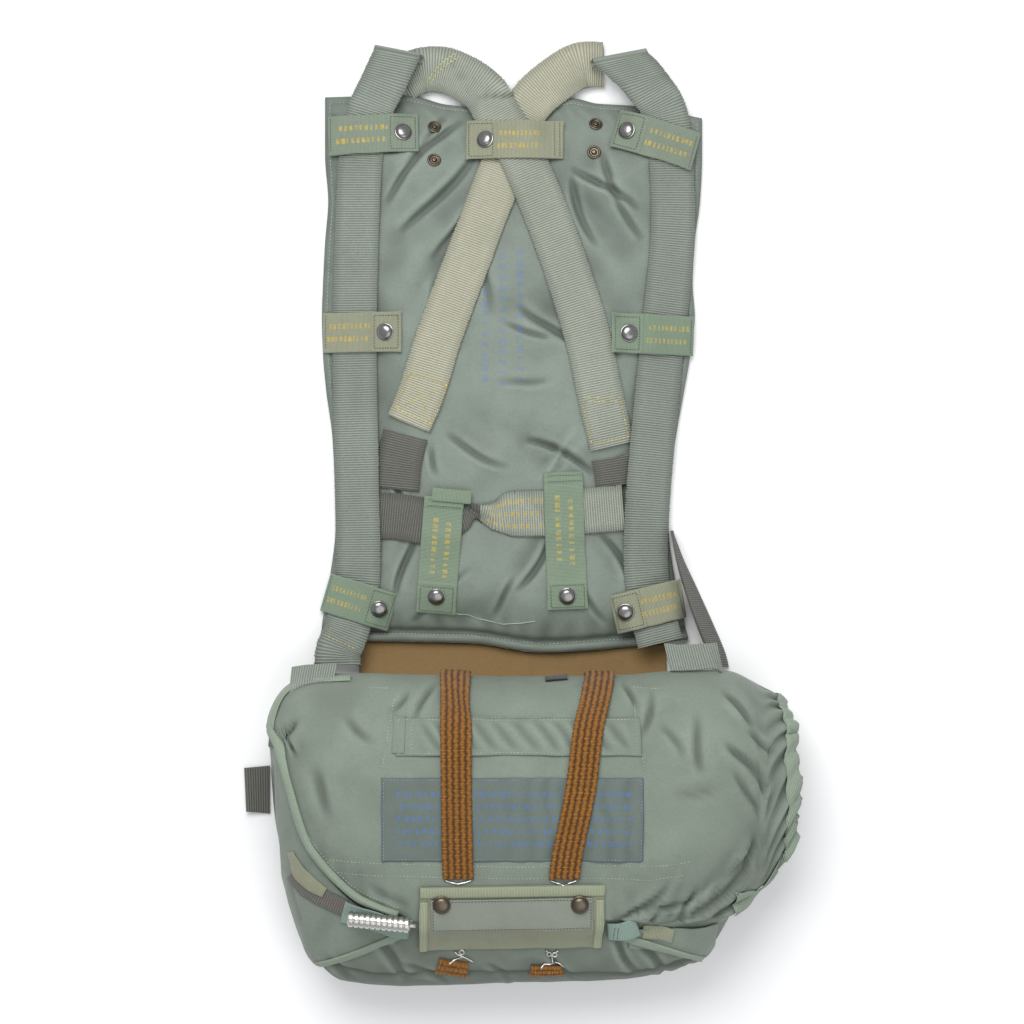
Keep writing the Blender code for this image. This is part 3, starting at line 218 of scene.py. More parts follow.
# A tab runs from its first end to its second; its snap is that share of its length from one end.
TAPE_WIDTH = 38.0
TABS = table("name x0 y0 x1 y1 snap finish ink0 ink1", [
    ("upper_left", -176, 359, -89, 361, 0.17, "tape_grey", 8, 58),
    ("top", -44, 354, 49, 354, 0.2, "tape_olive", 30, 70),
    ("upper_right", 176, 344, 98, 366, 0.15, "tape_grey", 6, 50),
    ("mid_left", -181, 171, -105, 171, 0.2, "tape_olive", 4, 46),
    ("mid_right", 174, 168, 95, 170, 0.2, "tape_green", 5, 46),
    ("low_left", -179, -76, -113, -96, 0.2, "tape_green", 4, 40),
    ("low_right", 163, -82, 96, -98, 0.18, "tape_olive", 6, 42),
    ("pair_left", -64, 14, -73, -97, 0.15, "tape_green", 20, 76),
    ("pair_right", 48, 38, 53, -93, 0.1, "tape_green", 22, 88),
])
SNAP_AT_START = ("top",)
BAND_LEFT = table("x y", [(-53, -159), (-52, -190), (-51, -222), (-50, -290), (-49, -334.5)])
BAND_RIGHT = table("x y", [(82, -158), (76, -180), (69, -207), (62, -256), (51, -309), (47.5, -334.5)])
BAND_FOOT = -0.24
BAND_WIDTH = 29.0
BAND_RIBS = 5

trees = {}
faces_up = {}


def screen(red, green, blue):
    """A linear colour from the values that a screen shows."""
    return tuple(((v / 255.0 + 0.055) / 1.055) ** 2.4 for v in (red, green, blue))


def colour(label, text, red, green, blue):
    return bpy.props.FloatVectorProperty(
        name=label, description=text, subtype="COLOR", size=3, min=0.0, max=1.0,
        default=screen(red, green, blue))


def length(label, text, metres):
    return bpy.props.FloatProperty(
        name=label, description=text, unit="LENGTH", subtype="DISTANCE", min=0.0, default=metres)


class ParachuteSizes(bpy.types.PropertyGroup):
    web_thickness: length("Webbing thickness", "Thickness of the harness webbing", 0.0024)
    tape_thickness: length("Tab thickness", "Thickness of the tape of the snap tabs", 0.0016)
    cloth_thickness: length("Canvas thickness", "Thickness of the container's flaps", 0.0022)
    rib_pitch: length("Rib pitch", "Distance between the cross ribs of the webbing", 0.0023)
    rib_depth: length("Rib depth", "Height of the cross ribs of the webbing", 0.0003)
    stitch_pitch: length("Stitch pitch", "Distance from one stitch to the next", 0.0034)
    stitch_radius: length("Stitch radius", "Radius of the sewing thread", 0.00042)
    wrinkle_height: length("Wrinkle height", "Height of the small wrinkles of the cloth", 0.0009)


class ParachuteColours(bpy.types.PropertyGroup):
    pad_nylon: colour("Pad nylon", "Sage nylon of the back pad", 121, 131, 121)
    pack_nylon: colour("Container canvas", "Sage canvas of the container", 121, 131, 119)
    patch_nylon: colour("Data patch", "Darker nylon of the data patch", 97, 109, 101)
    cover_canvas: colour("Cover canvas", "Olive canvas of the pin cover", 134, 137, 116)
    strip_canvas: colour("Cover strip", "Grey strip sewn on the pin cover", 132, 137, 126)
    tan_canvas: colour("Tan canvas", "Panel between pad and container", 138, 112, 74)
    webbing: colour("Webbing", "Grey green harness webbing", 148, 156, 145)
    webbing_light: colour("Light webbing", "Worn harness webbing over the back", 166, 172, 158)
    webbing_pale: colour("Pale webbing", "Faded harness webbing", 188, 187, 166)
    webbing_dark: colour("Dark webbing", "Grey brown webbing", 112, 112, 105)
    tape_green: colour("Green tape", "Green tape of the tabs", 128, 145, 124)
    tape_olive: colour("Olive tape", "Faded tape of the tabs", 147, 149, 126)
    tape_grey: colour("Grey tape", "Grey green tape of the upper tabs", 130, 141, 124)
    binding_pale: colour("Pale binding", "Faded binding of the pin cover", 158, 164, 138)
    binding: colour("Binding", "Pale green edge binding", 146, 160, 142)
    blue_cloth: colour("Blue green cloth", "Cloth under the housing and end strap", 140, 161, 150)
    elastic: colour("Elastic", "Brown shirred elastic", 164, 110, 48)
    black_tape: colour("Black tape", "Small tag on the top edge", 34, 34, 33)
    ink_yellow: colour("Yellow ink", "Ink bars on the tabs", 196, 166, 52)
    ink_blue: colour("Blue ink", "Ink bars on pad and patch", 66, 108, 186)
    thread_pale: colour("Pale thread", "Thread of the hems", 160, 172, 158)
    thread_yellow: colour("Yellow thread", "Thread of the webbing joints", 200, 186, 116)
    thread_dark: colour("Dark thread", "Thread of the pin cover", 70, 68, 74)
    thread_deep: colour("Deep green thread", "Thread of the tabs' boxes", 72, 86, 76)
    thread_red: colour("Red thread", "Thread of the side flap", 172, 62, 66)
    thread_blue: colour("Blue thread", "Thread of the data patch", 122, 134, 176)
    floor: colour("Floor", "Pale studio floor", 246, 246, 246)


def sizes():
    return bpy.context.scene.parachute_sizes


def colours():
    return bpy.context.scene.parachute_colours


def smooth_step(value):
    value = np.clip(value, 0.0, 1.0)
    return value * value * (3.0 - 2.0 * value)


def blend_rows(rows, key, at):
    """Smooth values of a table's other columns at places along its key column."""
    rows = sorted(rows, key=lambda row: row[key])
    keys = np.array([row[key] for row in rows], float)
    at = np.clip(np.asarray(at, float), keys[0], keys[-1])
    k = np.clip(np.searchsorted(keys, at), 1, len(keys) - 1)
    span = keys[k] - keys[k - 1]
    share = (at - keys[k - 1]) / span
    bend_near = share ** 3 - 2.0 * share ** 2 + share
    bend_far = share ** 3 - share ** 2
    ease = smooth_step(share)
    result = {}
    for column in rows[0]:
        if column == key:
            continue
        values = np.array([row[column] for row in rows], float)
        steps = np.diff(values) / np.diff(keys)
        slopes = np.zeros(len(keys))
        slopes[0], slopes[-1] = steps[0], steps[-1]
        same = steps[1:] * steps[:-1] > 0.0
        total = np.where(same, steps[1:] + steps[:-1], 1.0)
        slopes[1:-1] = np.where(same, 2.0 * steps[1:] * steps[:-1] / total, 0.0)
        result[column] = (values[k - 1] * (1.0 - ease) + values[k] * ease
                          + (bend_near * slopes[k - 1] + bend_far * slopes[k]) * span)
    return result


def crease_height(creases, x, y):
    """Sum of the troughs and puffs at each place, each fading out along its length."""
    height = np.zeros(np.broadcast(x, y).shape)
    for crease in creases:
        ax, ay = crease["x0"], crease["y0"]
        bx, by = crease["x1"] - ax, crease["y1"] - ay
        inside = np.clip(((x - ax) * bx + (y - ay) * by) / (bx * bx + by * by), 0.0, 1.0)
        away = np.hypot(x - ax - inside * bx, y - ay - inside * by)
        fade = np.sin(math.pi * (0.15 + 0.7 * inside))
        height = height + crease["depth"] * fade * np.exp(-(away / crease["width"]) ** 2)
    return height


CREASE_NARROW = 0.68


def sharp_creases(creases, x, y):
    """Narrow creases with a small raised lip beside each, as stiff cloth buckles."""
    height = np.zeros(np.broadcast(x, y).shape)
    for n, crease in enumerate(creases):
        ax, ay = crease["x0"], crease["y0"]
        bx, by = crease["x1"] - ax, crease["y1"] - ay
        span = math.hypot(bx, by)
        along = ((x - ax) * bx + (y - ay) * by) / (span * span)
        inside = np.clip(along, 0.0, 1.0)
        bow = 0.07 * span * np.sin(math.pi * inside + n) * (1 if n % 2 else -1)
        side = ((x - ax) * by - (y - ay) * bx) / span + bow
        beyond = np.maximum(0.0, np.abs(along - 0.5) - 0.5) * span
        width = crease["width"] * CREASE_NARROW
        fade = np.sin(math.pi * (0.06 + 0.88 * inside)) ** 0.8 * np.exp(-(beyond / width) ** 2)
        near = side / width
        lip = 0.55 * np.exp(-((near - 1.7) / 1.1) ** 2) + 0.3 * np.exp(-((near + 1.9) / 1.3) ** 2)
        height = height + crease["depth"] * fade * (np.exp(-near ** 2) - lip)
    return height


def roughness_field(x, y, scale, seed):
    """Soft irregular heights from -1 to 1, the same each run."""
    x, y = np.broadcast_arrays(np.asarray(x, float), np.asarray(y, float))
    flat_x, flat_y = np.ravel(x) / scale, np.ravel(y) / scale
    values = [noise.noise(Vector((a, b, seed))) for a, b in zip(flat_x.tolist(), flat_y.tolist())]
    return np.array(values).reshape(x.shape)


def crumple(x, y, scale, seed):
    """Irregular ridges between flat facets, from -1 to 1."""
    first = roughness_field(x, y, scale, seed)
    second = roughness_field(x + 0.4 * scale * first, y, scale * 0.55, seed + 7.3)
    return 0.75 * (1.0 - 2.6 * np.abs(first)) * 0.5 + 0.5 * second


def edge_spaced(count, margin, inner):
    """Shares from 0 to 1, evenly spaced, with extra lines close to both ends."""
    middle = np.linspace(inner, 1.0 - inner, count)
    return np.concatenate([[0.0, margin, (margin + inner) / 2], middle,
                           [1.0 - (margin + inner) / 2, 1.0 - margin, 1.0]])


def soften(field, along, across):
    """Smooth a grid of heights; the reach along each axis is given in grid steps."""
    for axis, reach in ((0, along), (1, across)):
        if reach <= 0.0:
            continue
        radius = min(int(math.ceil(3.0 * reach)), field.shape[axis] - 1)
        kernel = np.exp(-0.5 * (np.arange(-radius, radius + 1) / reach) ** 2)
        kernel /= kernel.sum()
        pads = [(radius, radius) if a == axis else (0, 0) for a in range(2)]
        padded = np.pad(field, pads, mode="reflect", reflect_type="odd")
        field = np.apply_along_axis(lambda line: np.convolve(line, kernel, "valid"), axis, padded)
    return field


def stack(x, y, z):
    return np.stack(np.broadcast_arrays(x, y, z), axis=-1).astype(float)


def unit(vectors):
    return vectors / np.maximum(np.linalg.norm(vectors, axis=-1, keepdims=True), 1e-9)


def pack_base(x, along):
    """The container's skin: along is -1 to 0 up the north wall, 0 to 1 over the top, 1 to 2 down."""
    section = blend_rows(PACK_SECTIONS, "x", x)
    north, south, crown = section["north"], section["south"], section["crown"]
    waist, top = section["waist"], section["top"]
    angle = math.pi * np.clip(along, 0.0, 1.0)
    lean = np.cos(angle)
    reach = np.where(lean > 0.0, north - crown, crown - south)
    power = 2.0 / PACK_FULLNESS
    rise = np.maximum(0.0, np.sin(angle))
    y = crown + np.sign(lean) * reach * np.abs(lean) ** power
    z = waist + (top - waist) * rise ** power
    z = z + crease_height(PACK_FOLDS, x, y) * smooth_step(rise * 1.6)
    down = np.clip(along - 1.0, 0.0, 1.0)
    below = np.clip(-along, 0.0, 1.0)
    y = np.where(along < 0.0, north - PACK_TUCK * below ** 2, y)
    y = np.where(along > 1.0, south + PACK_TUCK * down ** 2, y)
    z = np.where(along < 0.0, waist * (1.0 - below), z)
    z = np.where(along > 1.0, waist * (1.0 - down), z)
    return stack(x, y, z)


def pack_frame(x, along):
    """Points of the container's skin and their outward directions."""
    x, along = np.broadcast_arrays(np.asarray(x, float), np.asarray(along, float))
    step_x, step_along = 2.0, 0.01
    x0 = np.maximum(PACK_SECTIONS[0]["x"], x - step_x)
    x1 = np.minimum(PACK_SECTIONS[-1]["x"], x + step_x)
    across = pack_base(x1, along) - pack_base(x0, along)
    up = pack_base(x, along - step_along) - pack_base(x, along + step_along)
    return pack_base(x, along), unit(np.cross(across, up))


def pack_along(x, y):
    """The skin's along value under a place seen from above."""
    section = blend_rows(PACK_SECTIONS, "x", x)
    over = (y - section["crown"]) / (section["north"] - section["crown"])
    under = (y - section["crown"]) / (section["crown"] - section["south"])
    lean = np.clip(np.where(y >= section["crown"], over, under), -1.0, 1.0)
    return np.arccos(np.sign(lean) * np.abs(lean) ** (PACK_FULLNESS / 2.0)) / math.pi


def pack_plan(x, y):
    return pack_frame(x, pack_along(x, y))


def floor_plan(x, y):
    base = stack(x, y, 0.0)
    return base, np.broadcast_to(UP, base.shape)


def hem_y(x):
    return blend_rows(HEM, "x", x)["y"]


def frame_tree(*names):
    """Search tree of CAD nodes, in plan millimetres."""
    points, polygons = [], []
    for name in names:
        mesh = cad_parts[name].data
        base = len(points)
        places = np.empty(len(mesh.vertices) * 3)
        mesh.vertices.foreach_get("co", places)
        points += (places.reshape(-1, 3) / MM + LAYOUT_CENTRE).tolist()
        polygons += [[v + base for v in face.vertices] for face in mesh.polygons]
    return BVHTree.FromPolygons(points, polygons)


def cast_heights(tree, base, out, start, reach):
    """Height of a tree's first face met from each base point's start height, or not a number."""
    heights = np.full(base.shape[:-1], np.nan)
    sign = -1.0 if start > 0.0 else 1.0
    for index in np.ndindex(heights.shape):
        origin = base[index] + out[index] * start
        hit = tree.ray_cast(origin.tolist(), (out[index] * sign).tolist(), reach)
        if hit[0] is not None:
            heights[index] = start + sign * hit[3]
    return heights


def fill_missing(field):
    """Carry a grid's known heights over to the places that no ray met."""
    for i in range(field.shape[0]):
        good = np.isfinite(field[i])
        if good.any() and not good.all():
            field[i] = np.interp(np.arange(field.shape[1]), np.nonzero(good)[0], field[i][good])
    good = np.isfinite(field[:, 0])
    if not good.all():
        for j in range(field.shape[1]):
            field[:, j] = np.interp(np.arange(field.shape[0]), np.nonzero(good)[0], field[good, j])
    return field


def highest(names, base, out, reach):
    """Height of the outermost of the made pieces at each place, or not a number."""
    found = [cast_heights(trees[name], base, out, reach, reach + 60.0) for name in names]
    height = np.where(np.isfinite(found[0]), found[0], np.nan)
    for other in found[1:]:
        height = np.fmax(height, np.where(np.isfinite(other), other, np.nan))
    return height


def press_below(points, out, tree, clear, depth=25.0):
    """Lower a cloth where a piece lying on it would otherwise cut into it."""
    undersides = cast_heights(tree, points, out, -depth, depth + 12.0)
    drop = np.where(np.isfinite(undersides), np.minimum(0.0, undersides - clear), 0.0)
    return points + out * drop[..., None]


def grid_normals(grid, hint):
    normals = unit(np.cross(np.gradient(grid, axis=0), np.gradient(grid, axis=1)))
    if (normals * hint).sum() < 0.0:
        normals = -normals
    return normals


def measure(grid):
    """Distances along the middle line and across the middle row of a grid."""
    middle, row = grid.shape[1] // 2, grid.shape[0] // 2
    along = np.linalg.norm(np.diff(grid[:, middle], axis=0), axis=1)
    across = np.linalg.norm(np.diff(grid[row], axis=0), axis=1)
    return np.concatenate([[0.0], np.cumsum(along)]), np.concatenate([[0.0], np.cumsum(across)])


def mesh_object(name, points, polygons, finish, place=None, ink=None):
    """An object from plan millimetres, with its cloth and ink coordinates per point."""
    mesh = bpy.data.meshes.new(name)
    placed = (np.asarray(points, float) - LAYOUT_CENTRE) * MM
    mesh.from_pydata(placed.tolist(), [], polygons)
    mesh.polygons.foreach_set("use_smooth", [True] * len(mesh.polygons))
    for label, values in (("place", place), ("ink", ink)):
        if values is not None:
            layer = mesh.attributes.new(label, "FLOAT_VECTOR", "POINT")
            layer.data.foreach_set("vector", np.asarray(values, np.float32).ravel())
    mesh.materials.append(finishes()[finish])
    mesh.update()
    thing = bpy.data.objects.new(name, mesh)
    bpy.context.scene.collection.objects.link(thing)
    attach(thing, "root")
    trees[name] = BVHTree.FromPolygons(np.asarray(points, float).tolist(), polygons)
    return thing


def layer_faces(rows, columns, start, flip):
    """Faces of one grid layer."""
    faces = []
    for i in range(rows - 1):
        for j in range(columns - 1):
            a = start + i * columns + j
            face = (a, a + 1, a + columns + 1, a + columns)
            faces.append(face[::-1] if flip else face)
    return faces


def rim_of(rows, columns):
    rim = list(range(columns))
    rim += [i * columns + columns - 1 for i in range(1, rows)]
    rim += [(rows - 1) * columns + j for j in range(columns - 2, -1, -1)]
    rim += [i * columns for i in range(rows - 2, 0, -1)]
    return rim


def cloth(name, top, hint, thick, finish, tone=None, ink=None, round_edge=0.32, step=None):
    """A closed sheet from its outer face: the inner face one thickness below and a soft rim."""
    rows, columns = top.shape[:2]
    normals = grid_normals(top, hint)
    under = top - normals * thick
    rounding = np.zeros((rows, columns))
    rounding[[0, -1], :] = rounding[:, [0, -1]] = thick * round_edge
    outer = top - normals * rounding[..., None]
    inner = under + normals * rounding[..., None]
    along, across = measure(top)
    rows_at = along if step is None else np.arange(rows) * step
    # The tone goes into the place attribute's third value: below zero the finish paints shade, above zero it fades the
    # colour as wear.
    place = stack(rows_at[:, None], across[None, :], tone if tone is not None else 0.0)
    layer = rows * columns
    points = np.concatenate([outer.reshape(-1, 3), inner.reshape(-1, 3)])
    flip = (np.cross(top[1, 0] - top[0, 0], top[0, 1] - top[0, 0]) * normals[0, 0]).sum() > 0.0
    faces = layer_faces(rows, columns, 0, flip) + layer_faces(rows, columns, layer, not flip)
    rim = rim_of(rows, columns)
    for k, a in enumerate(rim):
        b = rim[(k + 1) % len(rim)]
        face = (a, layer + a, layer + b, b)
        faces.append(face[::-1] if flip else face)
    places = np.concatenate([place.reshape(-1, 3)] * 2)
    inks = None if ink is None else np.concatenate([ink.reshape(-1, 3)] * 2)
    thing = mesh_object(name, points, faces, finish, places, inks)
    faces_up[name] = {"top": outer, "out": normals, "along": along, "across": across}
    return thing, along[-1] * MM, across[-1] * MM


def spot(name, along, across):
    """Point and direction of a sheet's outer face at distances from its first corner."""
    face = faces_up[name]
    i = min(max(np.searchsorted(face["along"], along) - 1, 0), len(face["along"]) - 2)
    j = min(max(np.searchsorted(face["across"], across) - 1, 0), len(face["across"]) - 2)
    s = (along - face["along"][i]) / max(face["along"][i + 1] - face["along"][i], 1e-9)
    t = (across - face["across"][j]) / max(face["across"][j + 1] - face["across"][j], 1e-9)
    s, t = min(1.0, max(0.0, s)), min(1.0, max(0.0, t))
    top = face["top"]
    point = ((top[i, j] * (1 - s) + top[i + 1, j] * s) * (1 - t)
             + (top[i, j + 1] * (1 - s) + top[i + 1, j + 1] * s) * t)
    return point, face["out"][i, j]


def drop(name, x, y, plan=floor_plan):
    """Point and direction of a piece's outer face under a place seen from above."""
    base, out = plan(np.array([float(x)]), np.array([float(y)]))
    height = cast_heights(trees[name], base, out, FAR * 3.0, FAR * 5.0)[0]
    if not math.isfinite(height):
        height = 0.0
    return base[0] + out[0] * height, out[0]


def smooth_route(rows, spacing):
    """Evenly spaced values along a rounded line through a table's rows."""
    keys = list(rows[0])
    knots = np.array([[row[key] for key in keys] for row in rows], float)
    ends = np.concatenate([knots[:1], knots, knots[-1:]])
    fine = []
    for k in range(len(knots) - 1):
        p0, p1, p2, p3 = ends[k:k + 4]
        for t in np.linspace(0.0, 1.0, 24, endpoint=False):
            fine.append(0.5 * (2.0 * p1 + (p2 - p0) * t + (2.0 * p0 - 5.0 * p1 + 4.0 * p2 - p3) * t ** 2
                               + (3.0 * p1 - p0 - 3.0 * p2 + p3) * t ** 3))
    fine = np.array(fine + [knots[-1]])
    reach = 3 if keys[:3] == ["ax", "ay", "az"] else 2
    distance = np.linalg.norm(np.diff(fine[:, :reach], axis=0), axis=1)
    distance = np.concatenate([[0.0], np.cumsum(distance)])
    count = max(2, int(round(distance[-1] / spacing)) + 1)
    at = np.linspace(0.0, distance[-1], count)
    return {key: np.interp(at, distance, fine[:, n]) for n, key in enumerate(keys)}


def strip_grid(route, spacing, across, half, plan, slant=(0.0, 0.0)):
    """Base points and directions of a strip that follows a route; across runs from -1 to 1."""
    line = smooth_route(route, spacing)
    run_x, run_y = np.gradient(line["x"]), np.gradient(line["y"])
    size = np.hypot(run_x, run_y)
    side_x, side_y = run_y / size, -run_x / size
    width = line.get("half", np.full(len(line["x"]), half))
    left = np.arange(len(line["x"]))[::-1] * spacing
    ramp = smooth_step(1.0 - left / SLANT_REACH)[:, None]
    beyond = ramp * (slant[0] + (slant[1] - slant[0]) * (0.5 + 0.5 * across[None, :]))
    x = line["x"][:, None] + (side_x * width)[:, None] * across[None, :] + (run_x / size)[:, None] * beyond
    y = line["y"][:, None] + (side_y * width)[:, None] * across[None, :] + (run_y / size)[:, None] * beyond
    return plan(x, y)


WEB_ACROSS = np.array([-1.0, -0.975, -0.92, -0.62, -0.31, 0.0, 0.31, 0.62, 0.92, 0.975, 1.0])


def declare(node):
    """Hide the CAD node that a sheet stands for."""
    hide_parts(node)


def fold_under(top, thick):
    """Carry a strap's end round a tight half turn and back under itself."""
    radius, steps = 3.2 + thick, 10
    run = unit(np.cross(UP, top[-1, -1] - top[-1, 0]))
    rows = [top]
    for k in range(1, steps + 1):
        angle = math.pi * k / steps
        shift = run * radius * math.sin(angle) - UP * radius * (1.0 - math.cos(angle))
        rows.append((top[-1] + shift)[None])
    rows.append((top[-1] + shift - run * 3.0)[None])
    return np.concatenate(rows)


def build_web(row):
    """One length of ribbed webbing laid as its CAD node lies."""
    size = sizes()
    pitch, depth = size.rib_pitch / MM, size.rib_depth / MM
    thick = size.web_thickness / MM
    slant = FOLDED_WEBS.get(row["node"], (0.0, 0.0))
    base, out = strip_grid(row["route"], pitch / 4.0, WEB_ACROSS, WEB_WIDTH / 2.0, floor_plan, slant)
    every = 6
    coarse = cast_heights(frame_tree(row["node"]), base[::every], out[::every], 300.0, 400.0)
    coarse = fill_missing(coarse)
    spots = np.arange(0, base.shape[0], every)
    heights = np.stack([np.interp(np.arange(base.shape[0]), spots, coarse[:, j])
                        for j in range(coarse.shape[1])], axis=1)
    heights = soften(heights, 7.0, 0.6)
    phase = np.arange(base.shape[0])[:, None] % 4
    wave = np.where(phase == 1, 1.0, np.where(phase == 3, -1.0, 0.0))
    selvedge = np.where(np.abs(WEB_ACROSS) > 0.9, 0.5, 1.0)[None, :]
    seed = float(len(row["node"]) + row["route"][0]["x"])
    uneven = 0.35 * roughness_field(base[..., 0], base[..., 1], 46.0, seed)
    folds = crease_height(WEB_CREASES[row["node"]], base[..., 0], base[..., 1])
    top = base + out * (heights + uneven + folds + depth * wave * selvedge)[..., None]
    side = unit(base[:, -1] - base[:, 0])[:, None, :]
    frayed = 0.6 * roughness_field(base[..., 0], base[..., 1], 2.6, seed + 3.0)
    tooth = np.where(np.abs(WEB_ACROSS) > 0.99, np.sign(WEB_ACROSS), 0.0)[None, :] * (wave * 0.4 + frayed)
    top = top + side * tooth[..., None]
    # Painted shade: darker along both selvedges, in the creases and where the web lies lower.
    edge_shade = np.where(np.abs(WEB_ACROSS) > 0.9, -0.9, 0.0)[None, :]
    tone = np.clip(0.35 * uneven + 0.3 * folds + edge_shade, -1.0, 1.0)
    if row["node"].startswith("join"):
        top = press_below(top, out, frame_tree("lift_web_left", "lift_web_right", "back_band"), 0.4)
    if row["node"] in FOLDED_WEBS:
        top = fold_under(top, thick)
        # Painted shade on the end turned under the fold.
        tone = np.concatenate([tone, np.full((top.shape[0] - tone.shape[0], tone.shape[1]), -0.8)])
    ink = None
    if row["node"] == "back_band":
        ink = stack((base[..., 0] + 24.0) / 56.0, 0.5 - 0.62 * WEB_ACROSS[None, :], 0.0)
    thing, run, width = cloth(row["node"] + "_webbing", top, UP, thick, row["finish"], tone, ink,
                              step=pitch / 4.0)
    declare(row["node"])
    if row["node"] == "back_band":
        add_finish(thing, "webbing_marked", TWIST_X)


def add_finish(thing, finish, from_x):
    """Give a piece's faces to the right of a place another finish."""
    thing.data.materials.append(finishes()[finish])
    limit = (from_x - LAYOUT_CENTRE[0]) * MM
    for face in thing.data.polygons:
        if face.center.x > limit:
            face.material_index = 1


def edge_rows(rows, spacing):
    """The two edge lines of a free ribbon, evenly spaced."""
    line = smooth_route(rows, spacing)
    first = np.stack([line["ax"], line["ay"], line["az"]], axis=-1)
    second = np.stack([line["bx"], line["by"], line["bz"]], axis=-1)
    return first, second


def ribbon(name, node, first, second, hint, finish):
    """Ribbed webbing between two edge lines of its underside."""
    size = sizes()
    thick, depth = size.web_thickness / MM, size.rib_depth / MM
    share = (WEB_ACROSS + 1.0) / 2.0
    under = first[:, None, :] + (second - first)[:, None, :] * share[None, :, None]
    normals = grid_normals(under, hint)
    phase = np.arange(under.shape[0])[:, None] % 4
    wave = np.where(phase == 1, 1.0, np.where(phase == 3, -1.0, 0.0))
    top = under + normals * (thick + depth * wave)[..., None]
    thing, run, width = cloth(name, top, hint, thick, finish, step=size.rib_pitch / MM / 4.0)
    declare(node)


def build_loose_webs():
    """Webbing at the container's top corners and the free tail beside it."""
    step = sizes().rib_pitch / MM / 4.0
    first, second = edge_rows(table("ax ay az bx by bz", [
        (151.8, -18, 0.6, 150.8, -18, 34), (162, -45, 0.6, 155, -45, 40),
        (176, -75, 0.6, 163, -74, 40), (191, -108, 0.6, 174, -106, 38),
        (202, -134, 0.6, 184, -131, 37), (206, -149.3, 0.6, 190, -147.4, 34),
    ]), step)
    ribbon("hip_webbing", "hip_web_right", first, second, np.array([1.0, 0.0, 0.2]), "webbing_dark")
    first, second = edge_rows(table("ax ay az bx by bz", [
        (-231.8, -289, 0.6, -231.8, -243, 0.6), (-242, -288, 2.0, -243, -244, 1.4),
        (-254, -287, 5.5, -256, -245, 4.0),
    ]), step)
    ribbon("tail_webbing", "web_tail", first, second, UP, "webbing_dark")
    leaning_ribbon("hip_loop_webbing", "hip_loop_right", table("x along bx by bz", [
        (148, 0.04, 143, -124, 62), (162, 0.05, 157, -125, 68), (178, 0.06, 173, -124, 74),
        (196, 0.06, 191, -122, 80),
    ]), step)
    leaning_ribbon("corner_webbing", "corner_web", table("x along bx by bz", [
        (-205, 0.13, -207, -147, 64), (-190, 0.12, -190, -145, 66), (-166, 0.11, -165, -144, 68),
    ]), step)


def leaning_ribbon(name, node, rows, step):
    """Webbing whose upper edge lies against the top flap, as its CAD node does."""
    line = smooth_route([{"x": row["bx"], "y": row["by"], "z": row["bz"], "skin": row["x"],
                          "along": row["along"]} for row in rows], step)
    base, out = pack_frame(line["skin"], line["along"])
    outer = stack(line["x"], line["y"], line["z"])
    inward = base + (outer - base) * 0.04
    height = cast_heights(frame_tree(node), inward[:, None], out[:, None], 60.0, 90.0)
    height = soften(fill_missing(height), 12.0, 0.0)[:, 0] - sizes().web_thickness / MM
    inner = base + out * height[:, None]
    ribbon(name, node, inner - LOOP_TUCK * unit(outer - inner), outer, np.array([0.0, 0.3, 1.0]),
           "webbing")


